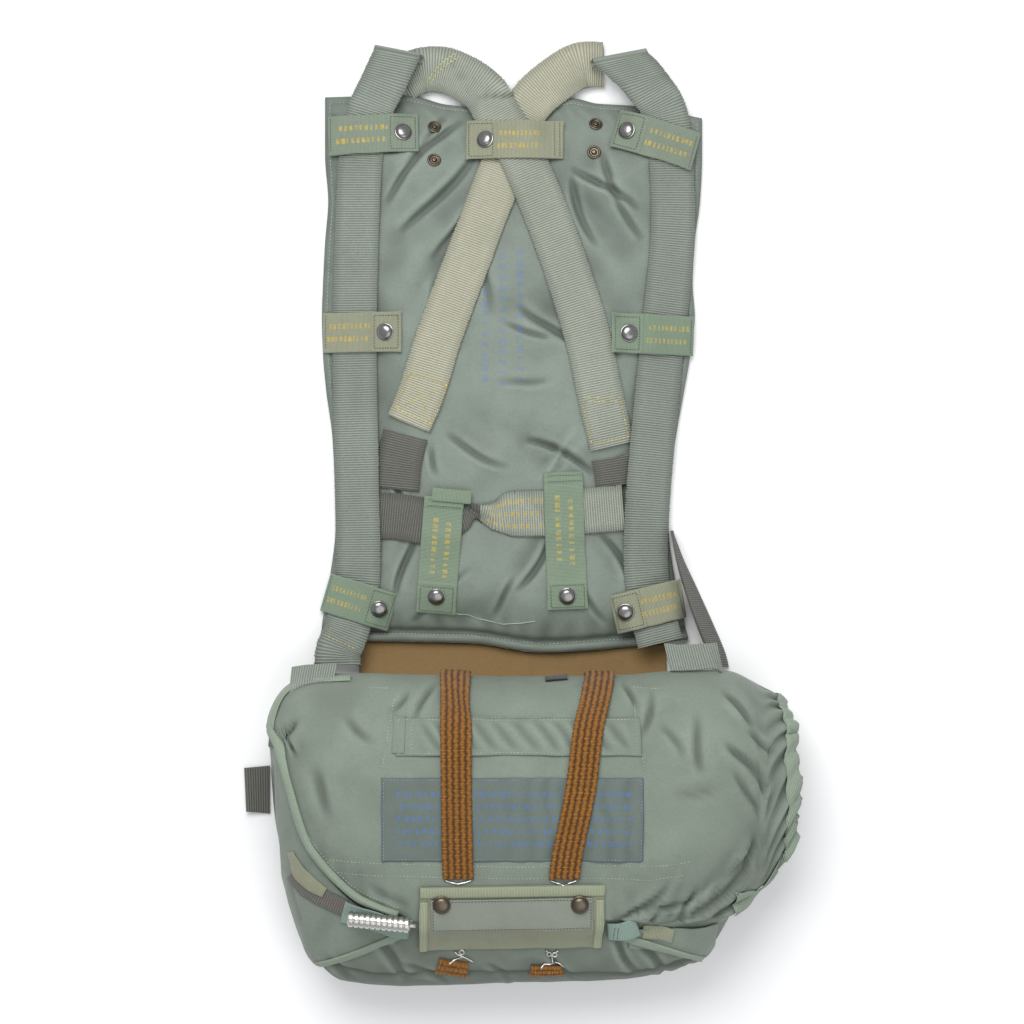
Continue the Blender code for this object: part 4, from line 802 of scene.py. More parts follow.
def build_pad():
    """The filled back pad with its hem, crown, pull creases and fine wrinkles."""
    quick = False
    u = edge_spaced(96 if quick else 172, 0.006, 0.018)
    v = edge_spaced(130 if quick else 240, 0.004, 0.012)
    u_grid, v_grid = np.meshgrid(u, v)
    y_low = blend_rows(PAD_BOTTOM, "x", -184.0 + 353.0 * u_grid)["y"]
    y_high = blend_rows(PAD_TOP, "x", -179.0 + 361.0 * u_grid)["y"]
    y = y_low + (y_high - y_low) * v_grid
    sides = blend_rows(PAD_SIDES, "y", y)
    x = sides["left"] + (sides["right"] - sides["left"]) * u_grid
    edge = np.minimum(np.minimum(x - sides["left"], sides["right"] - x), y_high - y)
    foot = y - y_low
    rise = smooth_step(np.maximum(0.0, edge - PAD_HEM) / 75.0) ** 0.6
    rise = rise * smooth_step(np.maximum(0.0, foot - 4.0) / 60.0) ** 0.5
    height = PAD_EDGE + PAD_CROWN * rise
    height -= np.where(edge < 3.0, 2.5 * (1.0 - edge / 3.0), 0.0)
    piping = np.clip((foot + 1.5) / 10.5, 0.0, 1.0)
    height += np.where(foot < 9.0, 5.0 * np.sin(math.pi * piping), 0.0)
    inland = smooth_step(edge / 45.0) * np.clip(foot / 25.0, 0.0, 1.0)
    height += crease_height(PAD_CREASES, x, y) * inland
    sharp = sharp_creases(PAD_FINE_CREASES, x, y) * smooth_step(edge / 30.0)
    fine = 1.9 * sharp
    wrinkle = sizes().wrinkle_height / MM
    fine += 1.7 * wrinkle * crumple(x, y, 44.0, 3.1) * smooth_step(edge / 24.0)
    fine += 0.5 * wrinkle * roughness_field(x, y, 16.0, 5.7)
    hem_line = np.exp(-((edge - 7.5) / 1.6) ** 2) * (foot > 12.0)
    pucker = np.sin((x + y) * 0.42 + 2.0 * roughness_field(x, y, 30.0, 9.0))
    fine += -1.1 * hem_line + 0.45 * pucker * np.exp(-((edge - 13.0) / 7.0) ** 2)
    fine += -3.4 * np.exp(-((foot - 10.5) / 2.4) ** 2)
    low_pucker = np.sin(x * 0.31 + 3.0 * roughness_field(x, y, 60.0, 2.0))
    fine += 1.0 * low_pucker * np.exp(-((foot - 19.0) / 9.0) ** 2)
    top = stack(x, y, height + fine)
    out = np.broadcast_to(UP, top.shape)
    on_pad = [row["node"] for row in WEBS] + ["tab_" + row["name"] for row in TABS]
    on_pad += ["stud_1", "stud_2", "stud_3", "stud_4"]
    top = press_below(top, out, frame_tree(*on_pad), 0.5, 60.0)
    rows, columns = top.shape[:2]
    # Painted shade: darker in the creases and troughs, in the groove above the piping, over the upper part and the
    # left side, and along the rim; the raised wrinkles fade lighter as wear.
    tone = soften(fine, 1.0, 1.0) / 2.4 - 1.3 * np.exp(-((foot - 10.0) / 2.2) ** 2)
    tone += 0.45 * sharp + 0.08 * crease_height(PAD_CREASES, x, y) * inland
    tone -= 0.3 * smooth_step((y - 200.0) / 120.0) + 0.2 * smooth_step((-x - 50.0) / 60.0)
    tone = np.clip(tone - 0.5 * np.exp(-(edge / 3.0) ** 2), -1.0, 1.0)
    place = stack(y + 400.0, x + 200.0, tone)
    # Ink rows run down the pad beside its middle.
    ink = stack((252.0 - y) / 132.0, (x + 34.0) / 50.0, 0.0)
    points = top.reshape(-1, 3)
    rim = rim_of(rows, columns)
    normals = grid_normals(top, UP)
    flip = (np.cross(top[1, 0] - top[0, 0], top[0, 1] - top[0, 0]) * normals[0, 0]).sum() > 0.0
    low_rim = points[rim].copy()
    low_rim[:, 2] = 0.0
    base = len(points)
    faces = layer_faces(rows, columns, 0, flip)
    for k, a in enumerate(rim):
        b = (k + 1) % len(rim)
        face = (a, base + k, base + b, rim[b])
        faces.append(face[::-1] if flip else face)
    bottom = tuple(range(base, base + len(rim)))
    faces.append(bottom if flip else bottom[::-1])
    places = np.concatenate([place.reshape(-1, 3), place.reshape(-1, 3)[rim]])
    inks = np.concatenate([ink.reshape(-1, 3), ink.reshape(-1, 3)[rim]])
    thing = mesh_object("pad_cushion", np.concatenate([points, low_rim]), faces, "pad_nylon", places,
                        inks)
    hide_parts("back_pad")


def build_body():
    """The filled container under its flaps."""
    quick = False
    x = -231.0 + 490.0 * edge_spaced(110 if quick else 190, 0.004, 0.01)
    along = np.concatenate([np.linspace(-1.0, 0.0, 10, endpoint=False),
                            np.linspace(0.0, 1.0, 60 if quick else 110, endpoint=False),
                            np.linspace(1.0, 2.0, 26)])
    x_grid, along_grid = np.meshgrid(x, along, indexing="ij")
    skin, out = pack_frame(x_grid, np.minimum(along_grid, 1.0))
    points = pack_base(x_grid, along_grid)
    below_hem = smooth_step((hem_y(x_grid) - points[..., 1]) / HEM_SOFTNESS)
    level = smooth_step(points[..., 2] / 40.0)
    fine = 1.5 * sharp_creases(BODY_FINE_CREASES, x_grid, points[..., 1])
    wrinkle = sizes().wrinkle_height / MM
    fine += wrinkle * crumple(x_grid, points[..., 1] + points[..., 2], 34.0, 11.0)
    fine = fine * below_hem * level
    groove = np.exp(-(away_from(FOOT_SEAM, x_grid, points[..., 1]) / 1.5) ** 2) * below_hem
    fine -= 3.0 * groove
    inside = (along_grid > 0.0) & (along_grid < 2.0)
    shift = np.where(inside, -HEM_RECESS * below_hem * level + fine - 0.4, 0.0)
    points = points + out * shift[..., None]
    points[..., 2] = np.maximum(points[..., 2], 0.0)
    over = frame_tree("pack_flap", "side_flap_left", "side_flap_right", "pin_cover", "low_band_left",
                      "low_band_right", "housing_base", "end_strap")
    pressed = press_below(points, out, over, 0.5)
    points = np.where((inside & (points[..., 2] > 25.0))[..., None], pressed, points)
    rows, columns = points.shape[:2]
    faces = layer_faces(rows, columns, 0, False)
    for i in range(rows - 1):
        a = i * columns
        faces.append((a, a + columns, a + 2 * columns - 1, a + columns - 1))
    faces.append(tuple(range(columns - 1, -1, -1)))
    last = (rows - 1) * columns
    faces.append(tuple(last + j for j in range(columns)))
    # Painted shade: darker down the lower wall, under the top flap's hem, in the foot seam's groove and in the
    # creases.
    foot = smooth_step((along_grid - 0.8) / 0.16) + 0.6 * below_hem
    tone = np.clip(fine / 2.2 - 0.9 * foot - groove, -1.0, 1.0)
    run = np.cumsum(np.linalg.norm(np.diff(points, axis=1, prepend=points[:, :1]), axis=-1), axis=1)
    place = stack(run, x_grid + 240.0, tone)
    flat = points.reshape(-1, 3)
    thing = mesh_object("container_body", flat, faces, "pack_nylon", place.reshape(-1, 3))
    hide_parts("pack_body")


def laid_grid(node, base, out, reach, along, across, fine=0.0):
    """Outer face of a cloth on the container: its CAD node's height, softened, and its relief."""
    height = soften(fill_missing(cast_heights(frame_tree(node), base, out, reach, reach + 40.0)),
                    along, across)
    return base + out * (height + fine)[..., None]


def frill_trim(along):
    """Share of the gathered end's reach: less at its upper corner."""
    return FRILL_TRIM + (1.0 - FRILL_TRIM) * smooth_step((along + 0.1) / 0.5)


def build_flap():
    """The container's top flap with its folds, seams and gathered right end."""
    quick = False
    x = -224.0 + 486.0 * edge_spaced(110 if quick else 200, 0.002, 0.006)
    skin_x = np.where(x > FRILL_START, FRILL_START + (x - FRILL_START) * FRILL_SHARE, x)
    end = pack_along(skin_x, hem_y(x))
    share = edge_spaced(70 if quick else 118, 0.003, 0.009)
    along = -0.35 + (end[:, None] + 0.35) * share[None, :]
    base, out = pack_frame(np.broadcast_to(skin_x[:, None], along.shape), along)
    base[..., 0] += (x - skin_x)[:, None] * frill_trim(along)
    px, py = base[..., 0], base[..., 1]
    facing = smooth_step((out[..., 2] - 0.15) / 0.5)
    sharp = sharp_creases(FLAP_FINE_CREASES, px, py) * facing
    fine = 1.6 * sharp
    wrinkle = sizes().wrinkle_height / MM
    fine += 1.6 * wrinkle * crumple(px, py, 52.0, 21.0) * facing
    fine += 0.5 * wrinkle * roughness_field(px, py, 17.0, 23.0)
    out_right = smooth_step((x - 214.0) / 46.0)[:, None]
    arc = share[None, :] * 330.0
    frill = np.sin(arc * 0.25 + 2.6 * roughness_field(px * 0.4, arc, 46.0, 31.0))
    fine += (3.0 * frill + 0.6 * np.sin(arc * 0.61 + 1.0)) * out_right ** 1.4
    ends = np.exp(-((share[None, :] - 1.0) * 330.0 / 14.0) ** 2)
    fine += 0.7 * np.sin(px * 0.33 + 2.0 * roughness_field(px, py, 50.0, 37.0)) * ends
    for seam in SEAMS:
        fine -= 0.8 * np.exp(-(away_from(seam, px, py) / 1.6) ** 2) * facing
    top = laid_grid("pack_flap", base, out, 40.0, 4.0, 4.0, fine)
    over = frame_tree("data_patch", "pocket_strip", "opening_band_left", "opening_band_right",
                      "pin_cover", "corner_web", "hip_loop_right", "binding_left", "binding_right")
    top = press_below(top, out, over, 0.4)
    # Painted shade: darker in the creases and folds, towards the lower edge and over both ends where the flap turns
    # down.
    tone = soften(fine, 1.0, 1.0) / 2.6 + 0.4 * sharp
    tone += 0.06 * crease_height(PACK_FOLDS, px, py) * facing
    low = smooth_step((-318.0 - py) / 60.0)
    ends = smooth_step((-px - 100.0) / 70.0) + smooth_step((px - 180.0) / 50.0)
    tone = np.clip(tone - 0.25 * low - 0.3 * ends, -1.0, 1.0)
    thick = sizes().cloth_thickness / MM
    thing, width, run = cloth("container_top_flap", top, out, thick, "pack_nylon", tone)
    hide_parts("pack_flap")


SEAMS = [
    [(-108, -176), (-110, -184), (-120, -246)],
    [(112, -176), (113, -186), (122, -246)],
    [(-167, -318), (-122, -321), (0, -324), (130, -322), (162, -318)],
    [(-160, -330), (-122, -332), (0, -335), (130, -334), (158, -330)],
    [(-104, -190), (0, -191), (116, -190)],
]


FOOT_SEAM = [(-170, -424), (-130, -436), (-70, -433), (0, -433), (60, -435), (110, -436), (160, -426)]


def away_from(route, x, y):
    """Distance of each place from a line of straight runs."""
    best = np.full(np.shape(x), 1e9)
    for (ax, ay), (bx, by) in zip(route, route[1:]):
        dx, dy = bx - ax, by - ay
        t = np.clip(((x - ax) * dx + (y - ay) * dy) / (dx * dx + dy * dy), 0.0, 1.0)
        best = np.minimum(best, np.hypot(x - ax - t * dx, y - ay - t * dy))
    return best


def build_side_flap(node, x0, x1, seam):
    """Sheet on one lower corner of the container, from under the top flap to its own piping."""
    x = x0 + (x1 - x0) * edge_spaced(46, 0.006, 0.02)
    start = np.minimum(1.0, pack_along(x, hem_y(x) - 9.0))
    finish = np.maximum(start + 0.06, pack_along(x, blend_rows(seam, "x", x)["y"]))
    share = edge_spaced(26, 0.015, 0.05)
    along = start[:, None] + (finish - start)[:, None] * share[None, :]
    base, out = pack_frame(np.broadcast_to(x[:, None], along.shape), along)
    fine = 0.9 * crumple(base[..., 0], base[..., 1] - base[..., 2], 26.0, 41.0)
    fine += sharp_creases(BODY_FINE_CREASES, base[..., 0], base[..., 1]) * 0.5
    top = laid_grid(node, base, out, 40.0, 2.0, 2.0, fine)
    over = frame_tree("pack_flap", "housing_base", "pin_cover", "end_strap", "binding_low_left",
                      "binding_low_right", "binding_left")
    top = press_below(top, out, over, 0.4)
    # Painted shade in the hollows of the crumples and creases.
    tone = np.clip(fine / 2.4, -1.0, 1.0)
    thing, width, run = cloth(node + "_cloth", top, out, sizes().cloth_thickness / MM, "pack_nylon", tone)
    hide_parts(node)


def build_tan_panel():
    """Canvas from under the pad's lower edge to the container, with one soft upright crease."""
    wall_gap = 0.7
    x = -146.0 + 294.0 * edge_spaced(120, 0.003, 0.01)
    rows = []
    drops = ((0.4, 0.0), (2.2, 0.45), (6.5, 0.8), (16.0, 1.0), (30.0, 1.0))
    level = np.interp(np.linspace(0, 4, 33), range(5), [d[0] for d in drops])
    reach = np.interp(np.linspace(0, 4, 33), range(5), [d[1] for d in drops])
    level, reach = soften(level[:, None], 2.0, 0.0)[:, 0], soften(reach[:, None], 2.0, 0.0)[:, 0]
    for z, share in zip(level, reach):
        wall = pack_base(x, np.full(len(x), z / 62.0 - 1.0))[:, 1] + wall_gap
        y_pad = blend_rows(PAD_BOTTOM, "x", x)["y"] - 0.8
        y = y_pad + (wall - y_pad) * share
        crease = 1.3 * np.exp(-((x - 11.0) / 7.0) ** 2) + 0.9 * np.exp(-((x - 16.0) / 2.2) ** 2)
        crease = crease * share * (1.0 - share) * 4.0
        ripple = 0.5 * roughness_field(x, y, 30.0, 51.0) * share
        rows.append(stack(x, y, z + crease + ripple + 2.2))
    top = np.stack(rows, axis=1)
    thing, width, run = cloth("tan_canvas_panel", top, UP, 2.2, "tan_canvas")
    declare("tan_panel")


def build_binding(name, node, route, half, plan=pack_plan, soft=4.0, on=()):
    """A rounded edge binding that follows a route over the container."""
    across = np.array([-1.0, -0.9, -0.6, -0.25, 0.0, 0.25, 0.6, 0.9, 1.0])
    base, out = strip_grid(route, 1.6, across, half, plan)
    round_over = 0.9 * (1.0 - across ** 2) - 0.9 * across ** 4
    ripple = 0.25 * roughness_field(base[..., 0], base[..., 1], 12.0, 61.0)
    if on:
        height = highest(on, base, out, 40.0) + 2.4
    else:
        height = cast_heights(frame_tree(node), base, out, 40.0, 90.0)
    height = soften(fill_missing(height), soft, 1.2)
    top = base + out * (height + 0.3 * round_over[None, :] + ripple)[..., None]
    thing, run, width = cloth(name, top, out, 2.0, "binding", round_edge=0.45)
    declare(node)


def hem_rows(x0, x1, steps):
    xs = [x0 + (x1 - x0) * k / steps for k in range(steps + 1)]
    return [{"x": x, "y": float(hem_y(x)) + 1.0} for x in xs]


def flap_edge(rows, columns, rise, lean):
    """A band of the top flap's own face, rounded and raised above it."""
    face = faces_up["container_top_flap"]
    top, out = face["top"][rows, columns], face["out"][rows, columns]
    count = top.shape[lean]
    shape = (count, 1) if lean == 0 else (1, count)
    calm = (0.0, 1.6) if lean == 0 else (0.8, 0.0)
    top = stack(*(soften(top[..., k], *calm) for k in range(3)))
    hump = (rise * (0.55 + 0.6 * np.sin(math.pi * np.linspace(0.05, 0.95, count)))).reshape(shape)
    return top + out * (hump + 1.8)[..., None], out


def build_end_binding():
    """Bindings of the gathered right end, its lower edge and the flap's upper left corner."""
    face = faces_up["container_top_flap"]["top"]
    x_line = face[:, face.shape[1] // 2, 0]
    last, near = len(x_line), int(np.searchsorted(x_line, x_line[-1] - 9.5))
    width_steps = slice(near, last)
    count = face.shape[1]
    top, out = flap_edge(width_steps, slice(int(count * 0.06), count), 1.0, 0)
    thing, run, width = cloth("end_binding", top, out, 1.6, "binding", round_edge=0.4)
    declare("binding_right")
    first = int(np.searchsorted(x_line, 200.0))
    wide = max(8, int(count * 0.09))
    top, out = flap_edge(slice(first, near - 1), slice(count - wide, count), 0.9, 1)
    thing, run, width = cloth("lower_end_binding", top, out, 1.4, "binding", round_edge=0.4)
    route = table("x y half", [(-221, -203, 4.2), (-220, -193, 4.2), (-216.5, -182, 3.6),
                               (-210, -172, 2.8), (-199, -164.5, 2.2), (-182, -161, 2.0),
                               (-150, -159.5, 1.8)])
    across = np.array([-1.0, -0.85, -0.4, 0.0, 0.4, 0.85, 1.0])
    base, out = strip_grid(route, 1.6, across, 4.2, pack_plan)
    height = cast_heights(trees["container_top_flap"], base, out, 40.0, 90.0)
    height = soften(fill_missing(height), 5.0, 1.0)
    ripple = 0.4 * roughness_field(base[..., 0], base[..., 1], 14.0, 63.0)
    top = base + out * (height + 1.9 + 0.7 * (1.0 - across ** 2)[None, :] + ripple)[..., None]
    thing, run, width = cloth("corner_binding", top, out, 1.5, "binding", round_edge=0.45)


def build_band(name, node, route):
    """Shirred elastic band: raised cords lengthwise, each puckered by its own gathers."""
    wall = smooth_route(route, 1.3)
    along = pack_along(wall["x"], wall["y"])
    count = 22
    foot = BAND_FOOT + (along[0] - BAND_FOOT) * np.arange(count) / count
    x = np.concatenate([np.full(count, wall["x"][0]), wall["x"]])
    along = np.concatenate([foot, along])
    across = np.linspace(-0.5, 0.5, 61)
    x_grid = x[:, None] + BAND_WIDTH * across[None, :]
    base, out = pack_frame(x_grid, np.broadcast_to(along[:, None], x_grid.shape))
    height = cast_heights(frame_tree(node), base[::3, ::4], out[::3, ::4], 30.0, 60.0)
    height = fill_missing(height)
    rows = np.arange(base.shape[0])
    spread = np.stack([np.interp(rows, np.arange(0, base.shape[0], 3), height[:, j])
                       for j in range(height.shape[1])], axis=1)
    height = np.stack([np.interp(np.arange(61), np.arange(0, 61, 4), spread[i])
                       for i in rows], axis=0)
    height = soften(height, 5.0, 5.0)
    cord_number = np.floor((across + 0.5) * BAND_RIBS * 0.9999)
    cord = np.abs(np.sin(math.pi * (across + 0.5) * BAND_RIBS)) ** 0.7
    run = np.concatenate([[0.0], np.cumsum(np.linalg.norm(np.diff(base[:, 30], axis=0), axis=1))])
    jitter = 3.2 * roughness_field(np.broadcast_to(run[:, None], x_grid.shape),
                                   np.broadcast_to(cord_number[None, :] * 40.0, x_grid.shape), 13.0, 71.0)
    gather = np.abs(np.sin(math.pi * run[:, None] / 3.6 + cord_number[None, :] * 1.3 + jitter))
    fine = cord[None, :] * (0.6 + 1.1 * gather) - 1.1
    top = base + out * (height + fine)[..., None]
    zigzag = 0.75 * np.sin(2.0 * math.pi * run[:, None] / 7.2 + jitter) * cord[None, :]
    top[..., 0] += zigzag * (np.abs(across[None, :]) < 0.47)
    wobble = 0.5 * np.sin(run * 1.43)[:, None] * np.sign(across)[None, :] * (np.abs(across) > 0.47)
    top[..., 0] += wobble
    # Painted shade in the gaps between the cords; the gathered crests fade lighter.
    gap_shade = (1.0 - cord[None, :]) * (0.35 + 1.1 * np.abs(np.cos(math.pi * run[:, None] / 3.6 + jitter)))
    tone = np.clip(0.55 * gather - 0.2 - 2.2 * gap_shade, -1.0, 1.0)
    thing, run_m, width = cloth(name, top, out, 2.4, "elastic", tone)
    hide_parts(node)


def build_low_band(name, node, route, half):
    """Short end of an elastic band that shows below the pin cover."""
    across = np.linspace(-1.0, 1.0, 25)
    base, out = strip_grid(route, 1.0, across, half, pack_plan)
    height = soften(fill_missing(cast_heights(frame_tree(node), base, out, 30.0, 60.0)), 2.0, 3.0)
    cord = np.abs(np.sin(1.5 * math.pi * (across + 1.0)))
    run = np.arange(base.shape[0], dtype=float)
    gather = np.abs(np.sin(run[:, None] / 1.3 + np.floor((across + 1.0) * 1.49)[None, :]))
    fine = cord[None, :] * (0.4 + 0.9 * gather) - 0.8
    fine += 0.6 * roughness_field(base[..., 0], base[..., 1], 3.0, 81.0)
    top = base + out * (height + fine)[..., None]
    # Painted shade in the hollows between the cords, from the relief's height.
    thing, run_m, width = cloth(name, top, out, 2.0, "elastic", np.clip(fine, -1.0, 1.0))
    declare(node)


def patch_grid(x0, x1, y0, y1, nx, ny, skew=0.0):
    x = x0 + (x1 - x0) * edge_spaced(nx, 0.006, 0.02)
    y = y0 + (y1 - y0) * edge_spaced(ny, 0.02, 0.06)
    x_grid, y_grid = np.meshgrid(x, y, indexing="ij")
    y_grid = y_grid + skew * ((x_grid - x0) / (x1 - x0) - 0.5)
    return pack_plan(x_grid, y_grid)


def build_patches():
    """Pocket strip with its slanting gathers, and the data patch with plain ink bars."""
    base, out = patch_grid(-106, 118, -224, -192, 110, 24)
    x, y = base[..., 0], base[..., 1]
    slant = np.sin((x + 0.75 * (y + 208.0)) * 0.36 + 2.4 * roughness_field(x, y, 46.0, 91.0))
    gather = slant * smooth_step((y + 224.0) / 10.0) * smooth_step((-192.0 - y) / 8.0)
    inside = smooth_step((x + 88.0) / 12.0) * smooth_step((112.0 - x) / 10.0)
    fine = 1.0 * gather * inside + 0.3 * roughness_field(x, y, 18.0, 93.0)
    top = laid_grid("pocket_strip", base, out, 40.0, 3.0, 2.0, fine)
    top = press_below(top, out, frame_tree("opening_band_left", "opening_band_right"), 0.3)
    # Painted shade in the hollows of the slanting gathers.
    thing, run, width = cloth("pocket_cloth", top, out, 1.4, "pack_nylon",
                              np.clip(fine / 1.6, -1.0, 1.0))
    declare("pocket_strip")
    base, out = patch_grid(-119, 120, -319, -243, 120, 44)
    x, y = base[..., 0], base[..., 1]
    fine = 0.5 * np.sin(x * 0.34 + 3.0 * roughness_field(x, y, 40.0, 97.0)) * smooth_step((x + 30.0) / 60.0)
    fine += 0.35 * roughness_field(x, y, 20.0, 99.0)
    top = laid_grid("data_patch", base, out, 40.0, 3.0, 2.0, fine)
    top = press_below(top, out, frame_tree("opening_band_left", "opening_band_right", "pin_cover"), 0.3)
    ink = stack((x + 106.0) / 216.0, (-252.0 - y) / 56.0, 0.0)
    # Painted shade in the hollows of the ripples.
    thing, run, width = cloth("data_patch_cloth", top, out, 1.0, "patch_nylon",
                              np.clip(fine / 1.2, -1.0, 1.0), ink)
    declare("data_patch")


def build_cover():
    """The pin cover, its bound edges and its stitched centre strip."""
    x = -84.0 + 169.0 * edge_spaced(110, 0.005, 0.012)
    share = edge_spaced(44, 0.01, 0.03)
    slope = x / 169.0
    y = -406.0 + 65.5 * share[None, :] + 3.0 * slope[:, None]
    px = x[:, None] - 2.0 * (1.0 - share[None, :])
    base, out = pack_plan(px, y)
    height = cast_heights(frame_tree("pin_cover"), base, out, 40.0, 80.0)
    height = soften(fill_missing(height), 3.0, 2.0)
    fine = 0.5 * crumple(px, y, 24.0, 101.0) * smooth_step((-346.0 - y) / 20.0)
    top = base + out * (height - 0.9 + fine)[..., None]
    # Painted shade in the hollows of the crumples.
    thing, run, width = cloth("cover_cloth", top, out, 2.2, "cover_canvas", np.clip(fine, -1.0, 1.0))
    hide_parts("pin_cover")
    build_cover_bindings()
    base, out = patch_grid(-74, 74, -381, -352, 90, 22, 3.0)
    fine = 0.35 * roughness_field(base[..., 0], base[..., 1], 16.0, 103.0)
    top = laid_grid("pin_cover_strip", base, out, 40.0, 3.0, 2.0, fine)
    # Painted shade in the hollows of the small ripples.
    thing, run, width = cloth("cover_strip_cloth", top, out, 1.2, "strip_canvas", fine)
    declare("pin_cover_strip")


def build_cover_bindings():
    """Bindings folded over the pin cover's upper edge and both ends."""
    face = faces_up["cover_cloth"]
    top, out = face["top"], face["out"]
    rows, columns = top.shape[:2]
    round_over = lambda n: 1.0 + 0.7 * np.sin(math.pi * np.linspace(0.06, 0.94, n))
    steps = int(columns * 0.2)
    strip = top[:, columns - steps:] + out[:, columns - steps:] * round_over(steps)[None, :, None]
    make_cover_binding("cover_binding_top", strip, out[:, columns - steps:])
    steps = int(rows * 0.075)
    inner = columns - int(columns * 0.2) - 1
    strip = top[:steps, :inner] + out[:steps, :inner] * round_over(steps)[:, None, None]
    make_cover_binding("cover_binding_left", strip, out[:steps, :inner])
    strip = top[-steps:, :inner] + out[-steps:, :inner] * round_over(steps)[:, None, None]
    make_cover_binding("cover_binding_right", strip, out[-steps:, :inner])


def make_cover_binding(name, top, out):
    thing, run, width = cloth(name, top, out, 1.0, "binding_pale", round_edge=0.4)


def build_strap_on_pack(name, node, route, half, finish, thick):
    across = np.array([-1.0, -0.94, -0.8, -0.4, 0.0, 0.4, 0.8, 0.94, 1.0])
    base, out = strip_grid(route, 1.2, across, half, pack_plan)
    height = soften(fill_missing(cast_heights(frame_tree(node), base, out, 40.0, 80.0)), 4.0, 1.0)
    fine = 0.25 * roughness_field(base[..., 0], base[..., 1], 9.0, 111.0)
    top = base + out * (height + fine)[..., None]
    # Painted shade in the hollows of the small ripples.
    thing, run, width = cloth(name, top, out, thick, finish, fine)
    declare(node)


def build_tab(row):
    """A tape tab with its doubled, boxed snap end and plain ink bars."""
    node = "tab_" + row["name"]
    thick = sizes().tape_thickness / MM
    route = [{"x": row["x0"], "y": row["y0"]}, {"x": row["x1"], "y": row["y1"]}]
    across = np.array([-1.0, -0.965, -0.9, -0.75, -0.5, -0.25, 0.0, 0.25, 0.5, 0.75, 0.9, 0.965, 1.0])
    base, out = strip_grid(route, 0.9, across, TAPE_WIDTH / 2.0, floor_plan)
    height = soften(fill_missing(cast_heights(frame_tree(node), base, out, 300.0, 400.0)), 4.0, 0.8)
    span = math.hypot(row["x1"] - row["x0"], row["y1"] - row["y0"])
    along = np.linspace(0.0, span, base.shape[0])
    snap_at = span * (row["snap"] if row["name"] in SNAP_AT_START else 1.0 - row["snap"])
    from_end = along if row["name"] in SNAP_AT_START else span - along
    box = box_length(row)
    doubled = 1.2 * smooth_step((box - from_end) / 1.4)
    hemmed = row["name"] in ("top", "pair_left", "pair_right")
    hem = 0.9 * smooth_step((11.0 - (span - from_end)) / 1.2) if hemmed else 0.0
    stitched = -0.4 * np.exp(-((from_end - box + 4.0) / 1.2) ** 2)
    hollow = -0.7 * np.exp(-((along - snap_at) / 9.0) ** 2)[:, None] * (1.0 - across ** 2)[None, :]
    fine = 0.45 * roughness_field(base[..., 0], base[..., 1], 20.0, 121.0 + row["x0"])
    relief = (doubled + stitched + hem)[:, None] + hollow + fine
    curl = 1.9 * np.abs(across[None, :]) ** 5 * np.exp(-(from_end / 7.0) ** 2)[:, None]
    top = base + out * (height + relief + curl)[..., None]
    ink = stack((along[:, None] - row["ink0"]) / (row["ink1"] - row["ink0"]),
                0.5 - across[None, :] * 0.78, 0.0)
    # Painted shade in the hollows of the tape's ripples; lighter along both edges.
    tone = np.clip(fine + 0.3 * np.abs(across[None, :]) ** 8, -1.0, 1.0)
    thing, run, width = cloth(node + "_tape", top, UP, thick, row["finish"], tone, ink)
    declare(node)


def box_length(row):
    """Length of a tab's doubled end."""
    return {"pair_left": 30.0, "pair_right": 27.0, "low_left": 27.0}.get(row["name"], 30.0)


def seat_of(node):
    """Centre of a turned node's base and its axis, in plan millimetres."""
    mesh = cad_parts[node].data
    places = np.empty(len(mesh.vertices) * 3)
    mesh.vertices.foreach_get("co", places)
    points = np.unique(np.round(places.reshape(-1, 3) / MM, 3), axis=0) + LAYOUT_CENTRE
    centre = points.mean(axis=0)
    axis = np.linalg.svd(points - centre)[2][-1]
    if axis[2] < 0.0:
        axis = -axis
    level = ((points - centre) @ axis).min()
    return centre + axis * level, axis


def turned(name, profile, sides, centre, axis, finish, slot, *nodes):
    """A turned piece: its profile rows are radius and height along the axis."""
    side = unit(np.cross(axis, np.array([0.13, 0.97, 0.21])))
    other = np.cross(axis, side)
    angle = 2.0 * math.pi * np.arange(sides) / sides
    ring = np.cos(angle)[:, None] * side + np.sin(angle)[:, None] * other
    points, faces = [], []
    for radius, height in profile:
        points.append(centre + axis * height + ring * max(radius, 0.02))
    count = len(profile)
    for k in range(count - 1):
        for j in range(sides):
            a, b = k * sides + j, k * sides + (j + 1) % sides
            faces.append((a, b, b + sides, a + sides))
    faces.append(tuple(range(sides - 1, -1, -1)))
    faces.append(tuple((count - 1) * sides + j for j in range(sides)))
    thing = mesh_object(name, np.concatenate(points), faces, finish)
    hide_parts(*nodes)
    return thing


def rounded(rows, steps=4):
    """A profile with its corners eased by a smooth line through its rows."""
    line = smooth_route([{"x": r, "y": h} for r, h in rows], 0.25 * 4.0 / steps)
    return list(zip(line["x"], line["y"]))


SNAP_PROFILE = [
    (7.6, 0.0), (8.2, 0.3), (8.4, 0.9), (8.1, 1.3), (7.4, 1.5), (7.2, 1.9), (6.9, 2.7), (6.1, 3.5),
    (4.8, 4.2), (3.2, 4.6), (1.5, 4.78), (0.0, 4.8),
]
STUD_PROFILE = [
    (6.1, 0.0), (6.45, 0.5), (6.5, 1.1), (6.1, 1.6), (5.5, 1.9), (4.9, 1.8), (4.5, 1.3), (4.3, 0.8),
    (3.4, 0.6), (2.7, 0.7), (2.3, 1.2), (2.1, 2.0), (1.8, 2.4), (1.0, 2.6), (0.0, 2.6),
]


